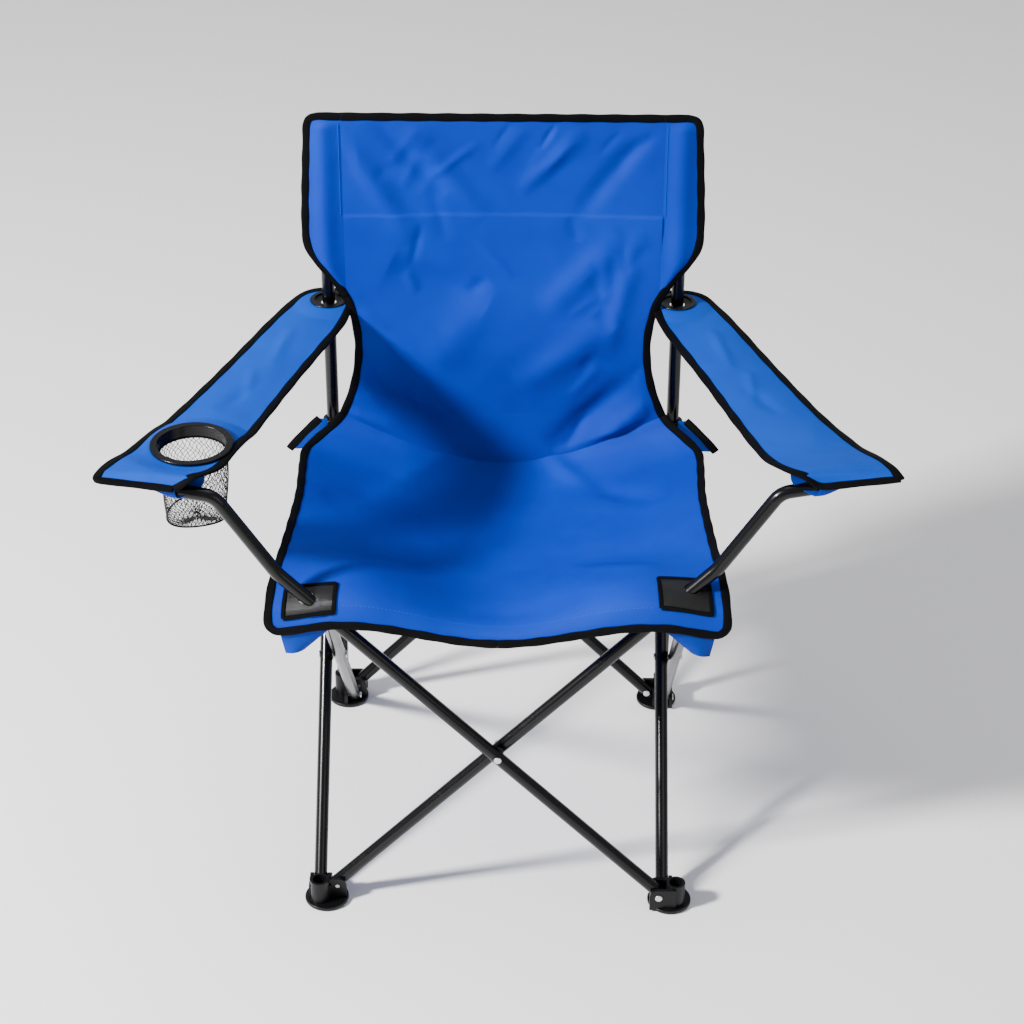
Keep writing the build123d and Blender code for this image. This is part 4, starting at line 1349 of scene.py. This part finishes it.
@dataclass
class CupNet:
    """The hanging net: a lattice of round yarns on a tapered bag with a slack bottom."""

    tailor: Tailor
    top_radius: float = 0.0405
    low_radius: float = 0.0345
    turns: int = 44
    rings: int = 20
    yarn: float = 0.00042
    yarn_slant: float = 1.9
    yarn_wander: float = 0.03
    rim: float = 0.75
    hang: float = 0.004
    # slack: bulges of the wall, stretch of the wall and the bottom, and the slant of the rim
    bulge: float = 0.035
    wall_stretch: float = 1.02
    bottom_sag: float = 0.06
    rim_slant: float = 0.003
    # name, depth on the bag, half thickness and half width of the two bands
    bands: tuple = (("top", 0.02, (0.0009, 0.0022)), ("foot", 0.75, (0.0009, 0.0013)))

    def centre(self) -> tuple[float, float]:
        """The ring's middle, seen from above."""
        x, y, _ = middle("cup_ring").tolist()
        return x, y

    def surface(self, a: Array, t: Array) -> Array:
        """The bag at angle a and depth t: 0 at the ring, rim at the bottom's rim, 1 at its middle.

        The wall tapers and bulges by a sine of the angle, and the bottom sags by a quarter sine.
        """
        low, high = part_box("cup_net")
        depth = high[2] - low[2]
        wall = np.clip(t / self.rim, 0, 1)
        base = np.clip((t - self.rim) / (1 - self.rim), 0, 1)
        radius = (self.top_radius + (self.low_radius - self.top_radius) * wall) * (1 - base)
        radius = radius * (1 + self.bulge * np.sin(3 * a + 5 * t) * np.sin(HALF_TURN * wall))
        drop = self.wall_stretch * depth * wall + self.bottom_sag * depth * np.sin(QUARTER_TURN * base)
        drop = drop + self.rim_slant * np.sin(2 * a + 1.0) * wall
        x, y = self.centre()
        return np.stack([x + radius * np.cos(a), y + radius * np.sin(a), high[2] + self.hang - drop], axis=-1)

    def build(self) -> None:
        """Lays two families of slanting yarns that cross, and the band at the top and the foot."""
        centre = self.centre()
        verts, faces, start = [], [], 0
        t = np.linspace(0, 0.985, self.rings * 3)
        for way in (-1, 1):
            for k in range(self.turns):
                a = FULL_TURN * k / self.turns + way * (t * self.yarn_slant)
                a = a + self.yarn_wander * np.sin(40 * t + k)
                line = self.surface(a, t)
                outward = unit(line - np.array([*centre, line[:, 2].mean()]))
                rings = tube_rings(line, outward, (self.yarn, self.yarn), 4, 1.0)
                verts.append(rings.reshape(-1, 3))
                faces += [tuple(f + start) for f in grid_faces(len(t), 4, wrap=True)]
                start += len(t) * 4
        obj = new_piece("cup_net_lattice", np.vstack(verts), faces)
        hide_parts("cup_net")
        _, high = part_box("cup_net")
        hold = Hold("cup_holder", (0, 0, 1), (*centre, high[2]), 0.2)
        self.tailor.finish(obj, self.tailor.finishes.net, "cup_net_mesh", hold)
        angle = np.linspace(0, FULL_TURN, 97)
        for name, depth, half in self.bands:
            path = self.surface(angle, np.full(len(angle), depth))
            outward = unit(path - np.array([*centre, path[0, 2]]))
            obj = rings_piece(f"cup_net_{name}_band", tube_rings(path, outward, half, 10, 0.8))
            self.tailor.finish(obj, self.tailor.finishes.tape, "binding_tape", hold)


@dataclass
class CornerCloth:
    """The flaps of cloth that show below the front corners and beside the rear sliders."""

    tailor: Tailor
    # corners on the right side: top outer, top inner, bottom inner, bottom outer
    pocket: tuple = ((0.253, -0.2355, 0.428), (0.186, -0.2345, 0.428),
                     (0.224, -0.2335, 0.391), (0.245, -0.2345, 0.387))
    # top inner, top outer, bottom outer, bottom inner
    tab: tuple = ((0.226, 0.198, 0.452), (0.236, 0.198, 0.452), (0.276, 0.196, 0.408), (0.226, 0.196, 0.412))
    tab_edge: tuple = (0.258, 0.196, 0.430)
    pocket_curl: float = 0.004
    tab_curl: float = 0.002

    def flap(self, name: str, corners: Array, hold: Hold, replaces: str, curl: float) -> None:
        """A four-cornered flap that bows out along Y by curl at its middle.

        Args:
            name: The piece's name.
            corners: Its corners, one per row, in order round the edge.
            hold: What it rides on.
            replaces: The plain solid that it stands for.
            curl: How far it bows.
        """
        a, b, c, d = corners
        u = np.linspace(0, 1, 26)[None, :, None]
        v = np.linspace(0, 1, 22)[:, None, None]
        grid = (a * (1 - u) + b * u) * (1 - v) + (d * (1 - u) + c * u) * v
        bow = np.sin(HALF_TURN * u[..., 0]) * np.sin(QUARTER_TURN * v[..., 0])
        grid[..., 1] -= curl * bow
        obj = sheet_piece(name, grid, self.tailor.cloth)
        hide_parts(replaces)
        # The flaps take the darker copy of the blue cloth: painted shade below the seat.
        self.tailor.finish(obj, self.tailor.finishes.lining, "cloth_lining", hold)
        declare_sheet(grid)

    def build(self) -> None:
        """Makes two front pockets and two rear tabs with their tape."""
        for side in Side:
            word, mirror = side.word, np.array([side.value, 1, 1])
            hub, slider = Hold(f"front_{word}_hub"), Hold(f"rear_{word}_slider")
            pocket, tab = np.array(self.pocket) * mirror, np.array(self.tab) * mirror
            self.flap(f"{word}_front_pocket", pocket, hub, f"{word}_corner_pocket", self.pocket_curl)
            self.flap(f"{word}_rear_tab_cloth", tab, slider, f"{word}_rear_tab", self.tab_curl)
            edge = smooth_line(np.array([tab[1], np.array(self.tab_edge) * mirror, tab[2]]), 30)
            self.tailor.bind(f"{word}_rear_tab_tape", edge, np.tile(FORWARD, (30, 1)), slider)


# ------------------------------------------------------------------ stage
@dataclass
class Studio:
    """Pale floor, soft light and the camera."""

    sensor_mm: float = 36.0
    lens_mm: float = 89.071875
    pitch: float = 31.827
    yaw: float = -0.584
    roll: float = -0.171
    eye: tuple[float, float, float] = (0.0362, -2.6369, 2.0720)
    # the floor: how far it runs each way, where it starts to curve up, and how fast
    floor_x: tuple[float, float] = (-9, 9)
    floor_y: tuple[float, float] = (-6, 9)
    floor_cells: tuple[int, int] = (60, 4)
    curve_from: float = 4.5
    curve: float = 0.22
    below: float = 0.0002
    floor_colour: tuple = (0.88, 0.87, 0.865, 1)
    # name, place, size and power of each lamp, and the height they aim at
    lamps: tuple = (
        ("key", (-3.1, -1.5, 2.7), 0.5, 520.0), ("fill", (2.6, -2.4, 2.2), 2.0, 20.0),
        ("top", (0.2, 0.6, 3.4), 2.4, 34.0),
    )
    aim: tuple = (0.0, 0.0, 0.4)
    sky_colour: tuple = (0.93, 0.95, 1.0, 1)
    sky_strength: float = 0.5

    def build(self) -> None:
        """Sets the floor, lights, world and camera."""
        self.floor()
        self.lights()
        self.camera()

    def floor(self) -> None:
        """A plain floor that curves up far behind the chair."""
        rows, cols = self.floor_cells
        x, y = np.meshgrid(np.linspace(*self.floor_x, cols), np.linspace(*self.floor_y, rows))
        rise = np.clip(y - self.curve_from, 0, None) ** 2 * self.curve
        grid = np.dstack([x, y, rise - self.below])
        obj = new_piece("studio_floor", grid.reshape(-1, 3), list(grid_faces(rows, cols)))
        material = bpy.data.materials.new("studio_paper")
        material.use_nodes = True
        shader = material.node_tree.nodes["Principled BSDF"]
        shader.inputs["Base Color"].default_value = self.floor_colour
        shader.inputs["Roughness"].default_value = 0.75
        obj.data.materials.append(material)

    def lights(self) -> None:
        """A small strong key from the left front, a weak fill from the right and a pale sky."""
        for name, place, size, power in self.lamps:
            data = bpy.data.lights.new(name, "AREA")
            data.energy = power
            data.size = size
            lamp = bpy.data.objects.new(name, data)
            lamp.location = place
            lamp.rotation_euler = aim_angles(np.array(self.aim) - np.array(place))
            bpy.context.scene.collection.objects.link(lamp)
        world = bpy.data.worlds.new("sky")
        world.use_nodes = True
        sky = world.node_tree.nodes["Background"]
        sky.inputs["Color"].default_value = self.sky_colour
        sky.inputs["Strength"].default_value = self.sky_strength
        bpy.context.scene.world = world

    def camera(self) -> None:
        """A long lens from the front that looks down on the seat."""
        data = bpy.data.cameras.new("camera")
        data.sensor_width = self.sensor_mm
        data.lens = self.lens_mm
        data.clip_end = 60
        obj = bpy.data.objects.new("camera", data)
        obj.location = self.eye
        turn = (math.radians(90 - self.pitch), math.radians(self.roll), -math.radians(self.yaw))
        obj.rotation_euler = turn
        bpy.context.scene.collection.objects.link(obj)
        bpy.context.scene.camera = obj


def aim_angles(direction: Array) -> tuple[float, float, float]:
    """Euler angles that turn a lamp, which shines down its own -Z, along a direction."""
    x, y, z = unit(direction)
    return (math.acos(-z), 0.0, math.atan2(y, x) - math.pi / 2)


# front edge of each armrest, which follows its own arm tube
ARMREST_FRONT = {Side.LEFT: -0.233, Side.RIGHT: -0.218}


def main() -> None:
    """Loads the frame, builds every soft piece, dresses the rest and sets the stage."""
    logging.basicConfig(level=logging.INFO, format="%(message)s")
    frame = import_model()
    Studio().build()
    finishes = Finishes()
    finishes.dress_frame(frame["nodes"], frame["record"])
    tailor = Tailor(finishes)
    seat = Seat(tailor)
    for side in Side:
        seat.build(side)
        Armrest(tailor, side, ARMREST_FRONT[side]).build()
    Back(tailor).build()
    CupNet(tailor).build()
    CornerCloth(tailor).build()


if __name__ == "__main__":
    main()
